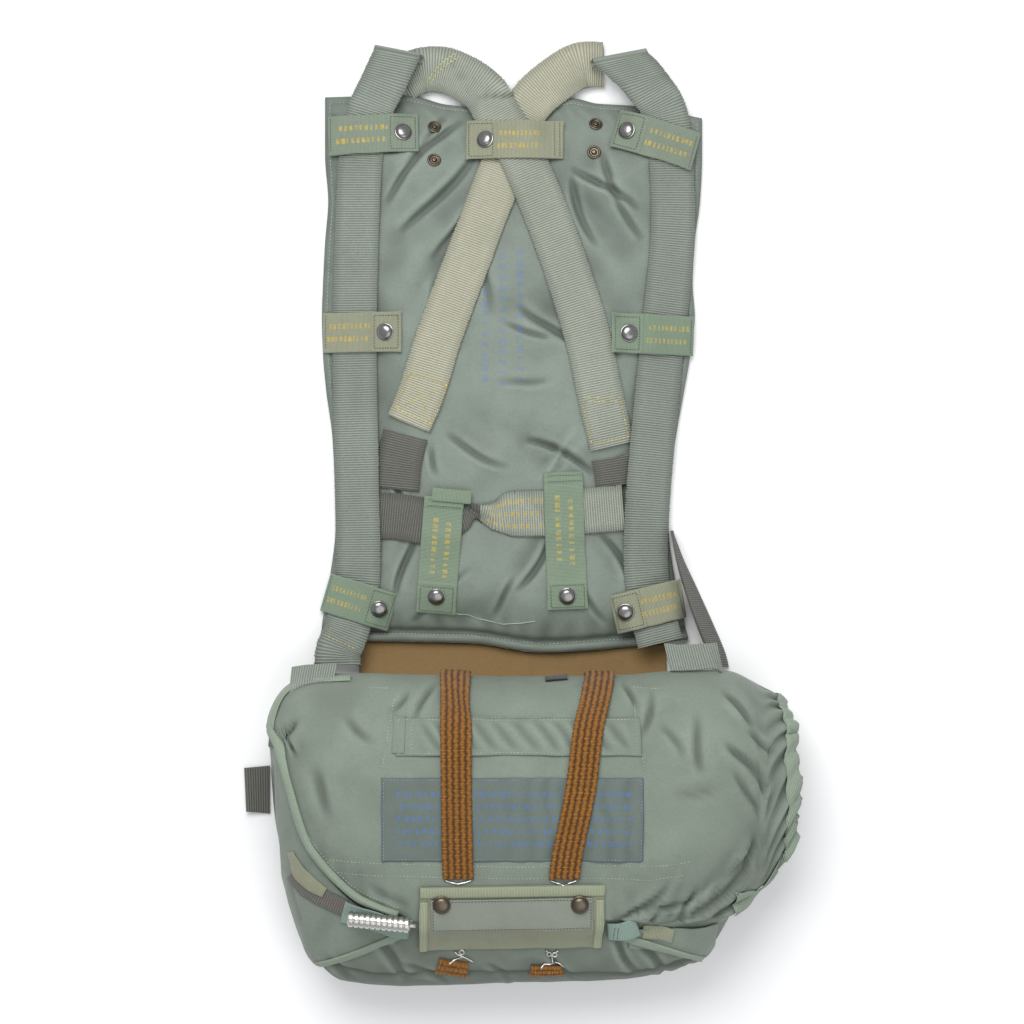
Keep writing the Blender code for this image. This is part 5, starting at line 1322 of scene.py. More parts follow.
def build_fasteners():
    """Snap caps, the cover's brown snaps and the open studs."""
    for row in TABS:
        node = "snap_" + row["name"]
        centre, axis = seat_of(node)
        turned(node + "_cap", rounded(SNAP_PROFILE), 48, centre - axis * 0.6, axis, "snap_steel",
               "snap_steel", node)
    for node in ("snap_cover_left", "snap_cover_right"):
        centre, axis = seat_of(node)
        turned(node + "_cap", rounded(SNAP_PROFILE), 48, centre - axis * 0.6, axis, "brass", "brass",
               node)
    for number in range(1, 5):
        node = "stud_" + str(number)
        centre, axis = seat_of(node)
        turned(node + "_ring", rounded(STUD_PROFILE), 44, centre - axis * 0.3, axis, "brass", "brass",
               node)


def build_housing():
    """Ridged steel cable housing with its end collar and pin."""
    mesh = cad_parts["cable_housing"].data
    places = np.empty(len(mesh.vertices) * 3)
    mesh.vertices.foreach_get("co", places)
    points = places.reshape(-1, 3) / MM + LAYOUT_CENTRE
    centre = points.mean(axis=0)
    axis = np.linalg.svd(np.unique(np.round(points - centre, 3), axis=0))[2][0]
    if axis[0] < 0.0:
        axis = -axis
    reach = (points - centre) @ axis
    start, end = reach.min(), reach.max()
    tube = end - start - 5.5
    radius, turns = 7.3, 11
    profile = [(radius - 2.4, 0.0), (radius - 1.6, 0.1)]
    for k in range(turns * 10 + 1):
        at = k / (turns * 10)
        swell = min(1.0, 2.4 * abs(math.sin(math.pi * at * turns)))
        profile.append((radius - 1.6 + 1.6 * swell, 0.3 + (tube - 0.6) * at))
    profile += [(radius - 1.8, tube), (2.4, tube + 0.2), (2.0, tube + 0.9), (2.0, tube + 5.0), (1.2, tube + 5.5)]
    share = np.linspace(0.0, 1.0, 25)
    line = centre + axis * (start + (end - start) * share)[:, None]
    base, out = floor_plan(line[:, 0][:, None], line[:, 1][:, None])
    under = highest(("housing_cloth", "side_flap_left_cloth", "container_body"), base, out, 300.0)
    rest = fill_missing(under)[:, 0] + radius + 0.8
    low, high = rest[0], rest[-1]
    lift = max(0.0, float((rest - (low + (high - low) * share)).max()))
    first = np.array([line[0, 0], line[0, 1], low + lift])
    last = np.array([line[-1, 0], line[-1, 1], high + lift])
    axis = unit(last - first)
    turned("housing_tube", profile, 44, first, axis, "steel", "steel", "cable_housing")


def tubes(name, routes, radius, finish, slot, *nodes, sides=8):
    """Round wires along lists of points, as one object."""
    points, faces = [], []
    for route in routes:
        rows = [{"ax": p[0], "ay": p[1], "az": p[2]} for p in np.asarray(route, float)]
        line = smooth_route(rows, radius * 0.8)
        path = np.stack([line["ax"], line["ay"], line["az"]], axis=-1)
        run = unit(np.gradient(path, axis=0))
        side = unit(np.cross(run, np.array([0.05, 0.1, 1.0])))
        other = np.cross(run, side)
        angle = 2.0 * math.pi * np.arange(sides) / sides
        ring = (np.cos(angle)[None, :, None] * side[:, None, :]
                + np.sin(angle)[None, :, None] * other[:, None, :])
        base = len(points)
        points += (path[:, None, :] + radius * ring).reshape(-1, 3).tolist()
        for k in range(len(path) - 1):
            for j in range(sides):
                a, b = base + k * sides + j, base + k * sides + (j + 1) % sides
                faces.append((a, a + sides, b + sides, b))
        faces.append(tuple(base + j for j in range(sides)))
        faces.append(tuple(base + (len(path) - 1) * sides + j for j in range(sides - 1, -1, -1)))
    thing = mesh_object(name, points, faces, finish)
    if nodes:
        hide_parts(*nodes)
    return thing


def ring_route(x, y, radius):
    """Plan points of a small closed ring."""
    return [(x + radius * math.cos(a), y + radius * math.sin(a))
            for a in np.linspace(0.0, 2.0 * math.pi, 13)]


HOOKS = {
    "hook_left": [[(-61, -335.8), (-56, -337.7), (-49, -339.1), (-42, -337.7), (-37, -335.8)]],
    "hook_right": [[(35, -336.1), (40, -338.1), (47, -340.0), (54, -338.1), (59, -336.1)]],
    "hook_low_left": [
        ring_route(-46.5, -409.5, 2.2), [(-53, -409), (-50, -412), (-45, -414), (-40, -417)],
        [(-58, -419), (-45, -414), (-36, -419.5)],
    ],
    "hook_low_right": [
        ring_route(35.2, -412, 2.2), ring_route(40.8, -412, 2.2), [(32, -408), (34.5, -410)],
        [(41.5, -410), (44, -408)], [(38, -413.5), (38, -421.5)],
        [(27, -424.5), (30, -422.5), (38, -421.8), (46, -422.5), (49, -424.5)],
    ],
}


def build_hooks():
    """Bent wire hooks of the opening bands, lying on the cloth under them."""
    for node, routes in HOOKS.items():
        under = "container_top_flap" if "low" not in node else "container_body"
        lines = []
        for route in routes:
            line = []
            for x, y in between(route, 1.2):
                best, out = drop(under, x, y, pack_plan)
                height = 0.0
                for other in ("cover_cloth", "left_band_end", "right_band_end", "left_opening_band",
                              "right_opening_band"):
                    hit = trees[other].ray_cast((best + out * 25.0).tolist(), (-out).tolist(), 25.0)
                    if hit[0] is not None:
                        height = max(height, 25.0 - hit[3])
                line.append((best, out, height))
            raised = soften(np.array([[h] for _, _, h in line]), 1.6, 0.0)[:, 0]
            top = max(1.2, 0.0)
            lines.append([p + o * (max(h, 0.0) + top) for (p, o, _), h in zip(line, raised)])
        tubes(node + "_wire", lines, 0.95, "steel", "steel", node)


class Sewing:
    """Stitches gathered into one mesh of short arched threads."""

    def __init__(self):
        self.points = []
        self.faces = []

    def stitch(self, a, b, out, radius):
        run = b - a
        side = unit(np.cross(run, out))
        base = len(self.points)
        for share, size, lift in ((0.0, 0.45, -0.3), (0.22, 1.0, 0.45), (0.78, 1.0, 0.45), (1.0, 0.45, -0.3)):
            middle = a + run * share + out * (lift * radius)
            for across, up in ((-1, 0), (0, 1), (1, 0), (0, -1)):
                self.points.append(middle + side * (across * radius * size) + out * (up * radius * size))
        for k in range(3):
            for j in range(4):
                p, q = base + 4 * k + j, base + 4 * k + (j + 1) % 4
                self.faces.append((p, q, q + 4, p + 4))
        self.faces.append((base + 3, base + 2, base + 1, base))
        self.faces.append((base + 12, base + 13, base + 14, base + 15))

    def run(self, path, pitch=None, share=0.64, radius=None):
        """Stitches along a list of points with their outward directions."""
        size = sizes()
        pitch = pitch or size.stitch_pitch / MM
        radius = radius or size.stitch_radius / MM
        points = np.array([p for p, _ in path])
        outs = np.array([o for _, o in path])
        distance = np.concatenate([[0.0], np.cumsum(np.linalg.norm(np.diff(points, axis=0), axis=1))])
        at = 0.0
        while at + pitch * share <= distance[-1]:
            ends = [np.array([np.interp(s, distance, points[:, k]) for k in range(3)])
                    for s in (at, at + pitch * share)]
            out = unit(np.array([np.interp(at, distance, outs[:, k]) for k in range(3)]))
            self.stitch(ends[0], ends[1], out, radius)
            at += pitch

    def finish(self, name, finish):
        thing = mesh_object(name, np.array(self.points), self.faces, finish)
        return thing


def on_sheet(name, route, step=3.0):
    """Points of a sheet's face along a route of distances from its first corner."""
    return [spot(name, a, b) for a, b in between(route, step)]


def on_plan(name, route, plan, step=4.0):
    return [drop(name, x, y, plan) for x, y in between(route, step)]


def between(route, step):
    """Places a step apart along straight runs."""
    places = []
    for (ax, ay), (bx, by) in zip(route, route[1:]):
        count = max(1, int(math.hypot(bx - ax, by - ay) / step))
        places += [(ax + (bx - ax) * k / count, ay + (by - ay) * k / count) for k in range(count)]
    return places + [route[-1]]


def build_tab_stitches():
    """Boxed stitching round each snap and along the tabs' hems."""
    sewing = Sewing()
    for row in TABS:
        name = "tab_" + row["name"] + "_tape"
        face = faces_up[name]
        span, width = face["along"][-1], face["across"][-1]
        box = box_length(row)
        far, near = (3.0, box - 3.0)
        if row["name"] not in SNAP_AT_START:
            far, near = span - 3.0, span - box + 3.0
        sewing.run(on_sheet(name, [(far, 3.5), (far, width - 3.5), (near, width - 3.5), (near, 3.5),
                                   (far, 3.5)]), pitch=2.7)
        other = span - 3.5 if row["name"] in SNAP_AT_START else 3.5
        sewing.run(on_sheet(name, [(other, 2.5), (other, width - 2.5)]), pitch=2.7)
        if row["name"] == "top":
            sewing.run(on_sheet(name, [(span - 9.0, 2.5), (span - 9.0, width - 2.5)]), pitch=2.7)
        elif row["name"].startswith("pair"):
            sewing.run(on_sheet(name, [(9.0, 2.5), (9.0, width - 2.5)]), pitch=2.7)
    sewing.finish("tab_stitches", "thread_deep")


def stretch_of(name):
    """How much longer a sheet's measured middle line is than its plan length, from its ribs."""
    face = faces_up[name]
    middle = face["top"][:, face["top"].shape[1] // 2]
    plain = np.linalg.norm(middle[4:] - middle[:-4], axis=1).sum() / 4.0
    return face["along"][-1] / max(plain, 1.0)


def build_web_stitches():
    """Yellow stitching where the webs are joined."""
    sewing = Sewing()
    for name, routes in WEB_STITCHES.items():
        total = faces_up[name]["along"][-1]
        for route in routes:
            places = [(a if a >= 0.0 else a * stretch_of(name) + total, b) for a, b in route]
            sewing.run(on_sheet(name, places), pitch=4.2, radius=0.6)
    sewing.finish("web_stitches", "thread_yellow")


# Distances along the web, from its end where negative, and across from its left edge.
WEB_STITCHES = {
    "cross_web_left_webbing": [
        [(60, 5), (30, 40)], [(55, 4), (25, 39)], [(-44, 3), (-52, 41)], [(-40, 3), (-48, 41)],
        [(-6, 3), (-6, 41)], [(-40, 4), (-6, 4)], [(-44, 40), (-6, 40)],
    ],
    "cross_web_right_webbing": [
        [(-46, 3), (-46, 41)], [(-8, 3), (-8, 41)], [(-46, 3), (-8, 3)], [(-46, 41), (-8, 41)],
        [(-46, 3), (-8, 41)], [(-46, 41), (-8, 3)],
    ],
    "lift_web_left_webbing": [[(24, 4), (24, 40)]],
}


def build_pad_stitches():
    """Hem stitching of the pad and the pale thread that lies on it."""
    sewing = Sewing()
    inset = 5.0
    left = [(row["left"] + inset, row["y"]) for row in PAD_SIDES]
    left[0] = (left[0][0], 391.0)
    left[-1] = (left[-1][0] + 3.0, -112.0)
    right = [(row["right"] - inset, row["y"]) for row in PAD_SIDES]
    right[0] = (right[0][0], 371.0)
    right[-1] = (right[-1][0] - 3.0, -112.0)
    top = [(row["x"], row["y"] - inset) for row in PAD_TOP]
    top[0], top[-1] = (-173.0, 391.0), (176.0, 372.0)
    for route in (left, right, top):
        sewing.run(on_plan("pad_cushion", route, floor_plan), pitch=3.6)
    low = [(row["x"], row["y"] + 7.5) for row in PAD_BOTTOM]
    low[0], low[-1] = (-176.0, -114.0), (162.0, -114.0)
    sewing.run(on_plan("pad_cushion", low, floor_plan), pitch=3.6)
    sewing.finish("pad_stitches", "thread_pale")
    route = [(-57, -96), (-50, -97.5), (-42, -98), (-33, -101.5), (-26, -103), (-9, -107), (8, -106),
             (22, -104)]
    points = [drop("pad_cushion", x, y) for x, y in between(route, 3.0)]
    tubes("pad_loose_thread", [[p + o * 0.5 for p, o in points]], 0.5, "thread_pale", "binding",
          sides=6)


def build_pack_stitches():
    """Stitching of the container's seams, hems, pocket, patch and cover."""
    pale, blue, red, dark = Sewing(), Sewing(), Sewing(), Sewing()
    flap = "container_top_flap"
    for seam in SEAMS:
        pale.run(on_plan(flap, seam, pack_plan))
    for x0, x1 in ((-134, -112), (112, 140)):
        pale.run(on_plan(flap, [(x0, -166), (x1, -167)], pack_plan))
    pocket = "pocket_cloth"
    pale.run(on_plan(pocket, [(-104, -194), (116, -194)], pack_plan))
    pale.run(on_plan(pocket, [(-104, -222), (116, -222)], pack_plan))
    for x in (-104, -92, 114):
        pale.run(on_plan(pocket, [(x, -222), (x, -194)], pack_plan))
    patch = "data_patch_cloth"
    blue.run(on_plan(patch, [(-117, -245), (118, -245), (118, -317), (-117, -317), (-117, -245)],
                     pack_plan), pitch=3.0)
    cover, strip = "cover_cloth", "cover_strip_cloth"
    dark.run(on_plan(strip, [(-73, -355), (73, -352)], pack_plan), pitch=3.0)
    dark.run(on_plan(strip, [(-73, -380.5), (73, -377.5)], pack_plan), pitch=3.0)
    for x in (-77.5, -72, 72, 78):
        dark.run(on_plan(cover if abs(x) > 74 else strip, [(x, -381), (x, -350)], pack_plan), pitch=3.0)
    dark.run(on_plan(cover, [(-76, -349.5), (76, -346.5)], pack_plan), pitch=3.0)
    for x in (93.5, 97.0):
        dark.run(on_plan("end_strap_cloth", [(x, -393), (x + 1.0, -379.5)], pack_plan), pitch=2.6)
    red.run(on_plan("side_band", [(-203, -338), (-190, -347), (-172, -356), (-154, -364)], pack_plan),
            pitch=4.4)
    hem = [(row["x"], row["y"] + 6.5) for row in hem_rows(-222, -100, 30)]
    pale.run(on_plan(flap, hem, pack_plan))
    pale.finish("container_stitches", "thread_pale")
    blue.finish("patch_stitches", "thread_blue")
    red.finish("side_flap_stitches", "thread_red")
    dark.finish("cover_stitches", "thread_dark")


def shader_group(name, inputs, outputs):
    """An empty node group with named sockets, made once."""
    group = bpy.data.node_groups.new(name, "ShaderNodeTree")
    for label, kind, value in inputs:
        socket = group.interface.new_socket(name=label, in_out="INPUT", socket_type=kind)
        socket.default_value = value
    for label, kind in outputs:
        group.interface.new_socket(name=label, in_out="OUTPUT", socket_type=kind)
    first = group.nodes.new("NodeGroupInput")
    last = group.nodes.new("NodeGroupOutput")
    return group, first.outputs, last.inputs


def add(tree, kind, **settings):
    made = tree.nodes.new(kind)
    for key, value in settings.items():
        setattr(made, key, value)
    return made


def feed(tree, socket, value):
    """Link an output to a socket, or set the socket's own value."""
    if isinstance(value, bpy.types.NodeSocket):
        tree.links.new(value, socket)
    else:
        socket.default_value = value


def maths(tree, operation, *values):
    made = add(tree, "ShaderNodeMath", operation=operation)
    for socket, value in zip(made.inputs, values):
        feed(tree, socket, value)
    return made.outputs[0]


def mixed(tree, factor, first, second, blend="MIX"):
    made = add(tree, "ShaderNodeMix", data_type="RGBA", blend_type=blend)
    feed(tree, made.inputs["Factor"], factor)
    feed(tree, made.inputs[6], first)
    feed(tree, made.inputs[7], second)
    return made.outputs[2]


def ramp(tree, value, low, high):
    made = add(tree, "ShaderNodeMapRange", interpolation_type="SMOOTHSTEP")
    feed(tree, made.inputs["Value"], value)
    feed(tree, made.inputs["From Min"], low)
    feed(tree, made.inputs["From Max"], high)
    return made.outputs["Result"]


def cloud(tree, scale, detail=4.0, roughness=0.6, vector=None):
    made = add(tree, "ShaderNodeTexNoise")
    if vector is None:
        vector = add(tree, "ShaderNodeTexCoord").outputs["Object"]
    tree.links.new(vector, made.inputs["Vector"])
    feed(tree, made.inputs["Scale"], scale)
    made.inputs["Detail"].default_value = detail
    made.inputs["Roughness"].default_value = roughness
    return made.outputs["Fac"]


def attribute(tree, name):
    split = add(tree, "ShaderNodeSeparateXYZ")
    tree.links.new(add(tree, "ShaderNodeAttribute", attribute_name=name).outputs["Vector"], split.inputs[0])
    return split.outputs


def make_wear_group():
    """Colour that fades in clouds and on raised folds as worn cloth does, takes painted shade where the place
    attribute's third value is below zero (creases, grooves and shaded sides), and darkens with dirt clouds and grain
    specks.
    """
    group, given, result = shader_group("cloth_wear", [
        ("Colour", "NodeSocketColor", (0.5, 0.5, 0.5, 1.0)), ("Faded Colour", "NodeSocketColor", (0.6, 0.6, 0.6, 1.0)),
        ("Dusty Colour", "NodeSocketColor", (0.3, 0.3, 0.3, 1.0)), ("Cloud Scale", "NodeSocketFloat", 9.0),
        ("Fold Strength", "NodeSocketFloat", 0.5),
    ], [("Colour", "NodeSocketColor"), ("Wear", "NodeSocketFloat")])
    tone = attribute(group, "place")[2]
    clouds = ramp(group, cloud(group, given["Cloud Scale"], 6.0, 0.62), 0.38, 0.72)
    raised = maths(group, "MULTIPLY", maths(group, "MAXIMUM", tone, 0.0), given["Fold Strength"])
    # Painted shade: where the tone is below zero, the colour darkens towards the darker colour given.
    sunk_shade = maths(group, "MULTIPLY", maths(group, "MAXIMUM", maths(group, "MULTIPLY", tone, -1.0), 0.0),
                 given["Fold Strength"])
    speck = ramp(group, cloud(group, 420.0, 2.0, 0.8), 0.35, 0.75)
    wear = maths(group, "MINIMUM", maths(group, "ADD", maths(group, "MULTIPLY", clouds, 0.55), raised), 1.0)
    shade = mixed(group, wear, given["Colour"], given["Faded Colour"])
    shade = mixed(group, sunk_shade, shade, given["Dusty Colour"])
    dirt = ramp(group, cloud(group, 17.0, 7.0, 0.68), 0.5, 0.82)
    shade = mixed(group, maths(group, "MULTIPLY", dirt, 0.3), shade, given["Dusty Colour"])
    grain = mixed(group, maths(group, "MULTIPLY", speck, 0.18), shade, given["Dusty Colour"])
    group.links.new(grain, result["Colour"])
    group.links.new(wear, result["Wear"])
    return group


def make_weave_group():
    """Over-and-under threads of a plain weave, from the cloth's own measures; the Shade output is low in the hollows
    between threads, where the finish paints shade.
    """
    group, given, result = shader_group("plain_weave", [
        ("Pitch", "NodeSocketFloat", 1.0), ("Slub", "NodeSocketFloat", 0.4),
    ], [("Height", "NodeSocketFloat"), ("Shade", "NodeSocketFloat")])
    place = attribute(group, "place")
    waves = []
    for axis in (0, 1):
        turn = maths(group, "MULTIPLY", maths(group, "DIVIDE", place[axis], given["Pitch"]), 2.0 * math.pi)
        waves.append(maths(group, "SINE", turn))
    height = maths(group, "MULTIPLY", waves[0], waves[1])
    slub = cloud(group, 160.0, 3.0, 0.7)
    height = maths(group, "ADD", height, maths(group, "MULTIPLY", slub, given["Slub"]))
    group.links.new(height, result["Height"])
    group.links.new(ramp(group, height, -1.0, 1.2), result["Shade"])
    return group


def make_rib_group():
    """Cross ribs of webbing with the fine warp threads between them; the Shade output is low in the grooves, where the
    finish paints shade.
    """
    group, given, result = shader_group("web_ribs", [
        ("Pitch", "NodeSocketFloat", 2.3), ("Warp", "NodeSocketFloat", 1.1),
    ], [("Height", "NodeSocketFloat"), ("Shade", "NodeSocketFloat")])
    place = attribute(group, "place")
    rib = maths(group, "SINE", maths(group, "MULTIPLY", maths(group, "DIVIDE", place[0], given["Pitch"]),
                                     2.0 * math.pi))
    warp = maths(group, "SINE", maths(group, "MULTIPLY", maths(group, "DIVIDE", place[1], given["Warp"]),
                                      2.0 * math.pi))
    height = maths(group, "ADD", rib, maths(group, "MULTIPLY", warp, 0.45))
    height = maths(group, "ADD", height, maths(group, "MULTIPLY", cloud(group, 300.0, 2.0), 0.8))
    group.links.new(height, result["Height"])
    group.links.new(ramp(group, height, -0.9, 1.3), result["Shade"])
    return group


def make_ink_group():
    """Plain rubbed ink bars in rows, inside the marked field."""
    group, given, result = shader_group("ink_bars", [
        ("Rows", "NodeSocketFloat", 2.0), ("Bars", "NodeSocketFloat", 9.0), ("Weight", "NodeSocketFloat", 0.5),
    ], [("Mask", "NodeSocketFloat")])
    place = attribute(group, "ink")
    row = maths(group, "MULTIPLY", place[1], given["Rows"])
    row_number = maths(group, "FLOOR", row)
    bar = maths(group, "MULTIPLY", place[0], given["Bars"])
    bar = maths(group, "ADD", bar, maths(group, "MULTIPLY", row_number, 0.37))
    cell = add(group, "ShaderNodeCombineXYZ")
    feed(group, cell.inputs[0], maths(group, "FLOOR", bar))
    feed(group, cell.inputs[1], row_number)
    dice = add(group, "ShaderNodeTexWhiteNoise", noise_dimensions="2D")
    group.links.new(cell.outputs[0], dice.inputs["Vector"])
    width = maths(group, "ADD", maths(group, "MULTIPLY", dice.outputs["Value"], 0.5), 0.28)
    inside_bar = maths(group, "LESS_THAN", maths(group, "FRACT", bar), width)
    middle = maths(group, "ABSOLUTE", maths(group, "SUBTRACT", maths(group, "FRACT", row), 0.5))
    inside_row = maths(group, "LESS_THAN", middle, 0.2)
    mask = maths(group, "MULTIPLY", inside_bar, inside_row)
    for axis in (0, 1):
        mask = maths(group, "MULTIPLY", mask, maths(group, "GREATER_THAN", place[axis], 0.0))
        mask = maths(group, "MULTIPLY", mask, maths(group, "LESS_THAN", place[axis], 1.0))
    rubbed = ramp(group, cloud(group, 340.0, 4.0, 0.75), 0.34, 0.62)
    mask = maths(group, "MULTIPLY", mask, maths(group, "MULTIPLY", rubbed, given["Weight"]))
    group.links.new(mask, result["Mask"])
    return group


def effect(tree, name, **values):
    """A shared node group placed in a material with its own values."""
    makers = {"cloth_wear": make_wear_group, "plain_weave": make_weave_group,
              "web_ribs": make_rib_group, "ink_bars": make_ink_group}
    group = bpy.data.node_groups.get(name) or makers[name]()
    made = add(tree, "ShaderNodeGroup", node_tree=group)
    for key, value in values.items():
        feed(tree, made.inputs[key.replace("_", " ")], value)
    return made.outputs


def tinted(rgb, factor, toward=0.5, share=0.0):
    return (*[(c * factor) * (1.0 - share) + toward * share for c in rgb], 1.0)


# Texture pitch is in millimetres of the cloth; fade and dust scale the colour: fade for worn cloth, dust for real dirt
# and for the painted shade in creases and between the threads.
CLOTHS = table("name colour pattern pitch bump rough sheen fade dust folds", [
    ("pad_nylon", "pad_nylon", "plain_weave", 1.1, 0.25, 0.5, 0.16, 1.26, 0.42, 0.75),
    ("pack_nylon", "pack_nylon", "plain_weave", 1.2, 0.3, 0.56, 0.08, 1.26, 0.42, 0.75),
    ("patch_nylon", "patch_nylon", "plain_weave", 1.0, 0.25, 0.55, 0.1, 1.15, 0.5, 0.6),
    ("cover_canvas", "cover_canvas", "plain_weave", 1.3, 0.4, 0.75, 0.08, 1.2, 0.55, 0.5),
    ("strip_canvas", "strip_canvas", "plain_weave", 1.3, 0.4, 0.75, 0.08, 1.15, 0.6, 0.4),
    ("tan_canvas", "tan_canvas", "plain_weave", 1.4, 0.4, 0.85, 0.05, 1.15, 0.5, 0.4),
    ("webbing", "webbing", "web_ribs", 2.3, 0.6, 0.78, 0.1, 1.2, 0.45, 0.6),
    ("webbing_light", "webbing_light", "web_ribs", 2.3, 0.6, 0.78, 0.1, 1.2, 0.45, 0.6),
    ("webbing_marked", "webbing_light", "web_ribs", 2.3, 0.6, 0.78, 0.1, 1.2, 0.45, 0.6),
    ("webbing_pale", "webbing_pale", "web_ribs", 2.3, 0.6, 0.8, 0.1, 1.15, 0.5, 0.6),
    ("webbing_dark", "webbing_dark", "web_ribs", 2.3, 0.6, 0.78, 0.08, 1.25, 0.5, 0.6),
    ("binding_pale", "binding_pale", "web_ribs", 1.4, 0.4, 0.8, 0.1, 1.2, 0.6, 0.5),
    ("tape_green", "tape_green", "web_ribs", 1.3, 0.3, 0.75, 0.25, 1.15, 0.6, 0.4),
    ("tape_olive", "tape_olive", "web_ribs", 1.3, 0.3, 0.75, 0.25, 1.2, 0.6, 0.4),
    ("tape_grey", "tape_grey", "web_ribs", 1.3, 0.3, 0.75, 0.1, 1.15, 0.6, 0.4),
    ("binding", "binding", "web_ribs", 1.5, 0.35, 0.78, 0.1, 1.2, 0.55, 0.5),
    ("blue_cloth", "blue_cloth", "web_ribs", 1.4, 0.4, 0.78, 0.1, 1.15, 0.6, 0.5),
    ("elastic", "elastic", "web_ribs", 1.6, 0.7, 0.9, 0.1, 1.3, 0.28, 1.0),
    ("black_tape", "black_tape", "web_ribs", 1.4, 0.5, 0.85, 0.3, 1.6, 0.5, 0.5),
])
INKED = {
    "webbing_marked": ("ink_yellow", 3.0, 9.0, 0.8),
    "tape_green": ("ink_yellow", 2.0, 10.0, 0.7), "tape_olive": ("ink_yellow", 2.0, 10.0, 0.75),
    "tape_grey": ("ink_yellow", 2.0, 10.0, 0.8),
    "pad_nylon": ("ink_blue", 3.0, 13.0, 0.3), "patch_nylon": ("ink_blue", 5.0, 34.0, 0.5),
}


def make_cloth(row):
    """A woven finish: worn colour, painted shade in creases and between threads, thread relief, sheen and, where
    marked, ink bars.
    """
    made = bpy.data.materials.new(row["name"])
    made.use_nodes = True
    tree = made.node_tree
    shader = tree.nodes["Principled BSDF"]
    rgb = tuple(getattr(colours(), row["colour"]))
    wear = effect(tree, "cloth_wear", Colour=tinted(rgb, 1.0), Faded_Colour=tinted(rgb, row["fade"]),
                  Dusty_Colour=tinted(rgb, row["dust"]), Fold_Strength=row["folds"])
    pattern = effect(tree, row["pattern"], Pitch=row["pitch"])
    # Painted shade between the threads: the colour darkens where the pattern is low, strongly between the webbing's
    # ribs.
    shade = mixed(tree, maths(tree, "MULTIPLY", maths(tree, "SUBTRACT", 1.0, pattern["Shade"]),
                              0.78 if row["pattern"] == "web_ribs" else 0.16),
                  wear["Colour"], tinted(rgb, row["dust"] * 0.8))
    if row["name"] in INKED:
        ink, rows, bars, weight = INKED[row["name"]]
        mask = effect(tree, "ink_bars", Rows=rows, Bars=bars, Weight=weight)["Mask"]
        shade = mixed(tree, mask, shade, tinted(tuple(getattr(colours(), ink)), 1.0))
    tree.links.new(shade, shader.inputs["Base Color"])
    rough = maths(tree, "ADD", maths(tree, "MULTIPLY", wear["Wear"], 0.12), row["rough"])
    tree.links.new(rough, shader.inputs["Roughness"])
    bump = add(tree, "ShaderNodeBump")
    bump.inputs["Strength"].default_value = row["bump"]
    bump.inputs["Distance"].default_value = 0.0004
    tree.links.new(pattern["Height"], bump.inputs["Height"])
    tree.links.new(bump.outputs["Normal"], shader.inputs["Normal"])
    shader.inputs["Sheen Weight"].default_value = row["sheen"]
    shader.inputs["Sheen Roughness"].default_value = 0.45
    shader.inputs["Specular IOR Level"].default_value = 0.3
    return made


METALS = table("name colour rough spots", [
    ("steel", (0.56, 0.55, 0.52), 0.22, 0.12), ("snap_steel", (0.24, 0.235, 0.23), 0.22, 0.3),
    ("brass", (0.12, 0.1, 0.075), 0.34, 0.5),
])


def make_metal(row):
    made = bpy.data.materials.new(row["name"])
    made.use_nodes = True
    tree = made.node_tree
    shader = tree.nodes["Principled BSDF"]
    spots = ramp(tree, cloud(tree, 260.0, 5.0, 0.7), 0.5, 0.78)
    worn = ramp(tree, cloud(tree, 900.0, 3.0, 0.8), 0.55, 0.8)
    shade = mixed(tree, maths(tree, "MULTIPLY", spots, row["spots"]), (*row["colour"], 1.0),
                  tinted(row["colour"], 0.4))
    shade = mixed(tree, maths(tree, "MULTIPLY", worn, 0.4), shade, tinted(row["colour"], 1.8))
    tree.links.new(shade, shader.inputs["Base Color"])
    tree.links.new(maths(tree, "ADD", maths(tree, "MULTIPLY", spots, 0.3), row["rough"]),
                   shader.inputs["Roughness"])
    shader.inputs["Metallic"].default_value = 1.0
    return made


def make_thread(name):
    made = bpy.data.materials.new(name)
    made.use_nodes = True
    tree = made.node_tree
    shader = tree.nodes["Principled BSDF"]
    rgb = tuple(getattr(colours(), name))
    shade = mixed(tree, ramp(tree, cloud(tree, 90.0, 3.0), 0.35, 0.7), tinted(rgb, 0.75), tinted(rgb, 1.15))
    tree.links.new(shade, shader.inputs["Base Color"])
    bump = add(tree, "ShaderNodeBump")
    bump.inputs["Strength"].default_value = 0.3
    bump.inputs["Distance"].default_value = 0.0002
    tree.links.new(cloud(tree, 1500.0, 2.0), bump.inputs["Height"])
    tree.links.new(bump.outputs["Normal"], shader.inputs["Normal"])
    shader.inputs["Roughness"].default_value = 0.7
    return made


made_finishes = {}


def finishes():
    """All finishes by name, made at the first call."""
    if not made_finishes:
        for row in CLOTHS:
            made_finishes[row["name"]] = make_cloth(row)
        for row in METALS:
            made_finishes[row["name"]] = make_metal(row)
        for name in ("thread_pale", "thread_yellow", "thread_dark", "thread_red", "thread_blue",
                     "thread_deep"):
            made_finishes[name] = make_thread(name)
    return made_finishes


CAMERA_PLACE = (-0.008, -0.0025, 3.2)
CAMERA_LENS = 117.3
LIGHTS = table("name place size watts", [
    ("key_light", (-0.4, 1.4, 2.4), 2.0, 61.0), ("fill_light", (0.6, -1.1, 2.3), 2.4, 17.0),
])


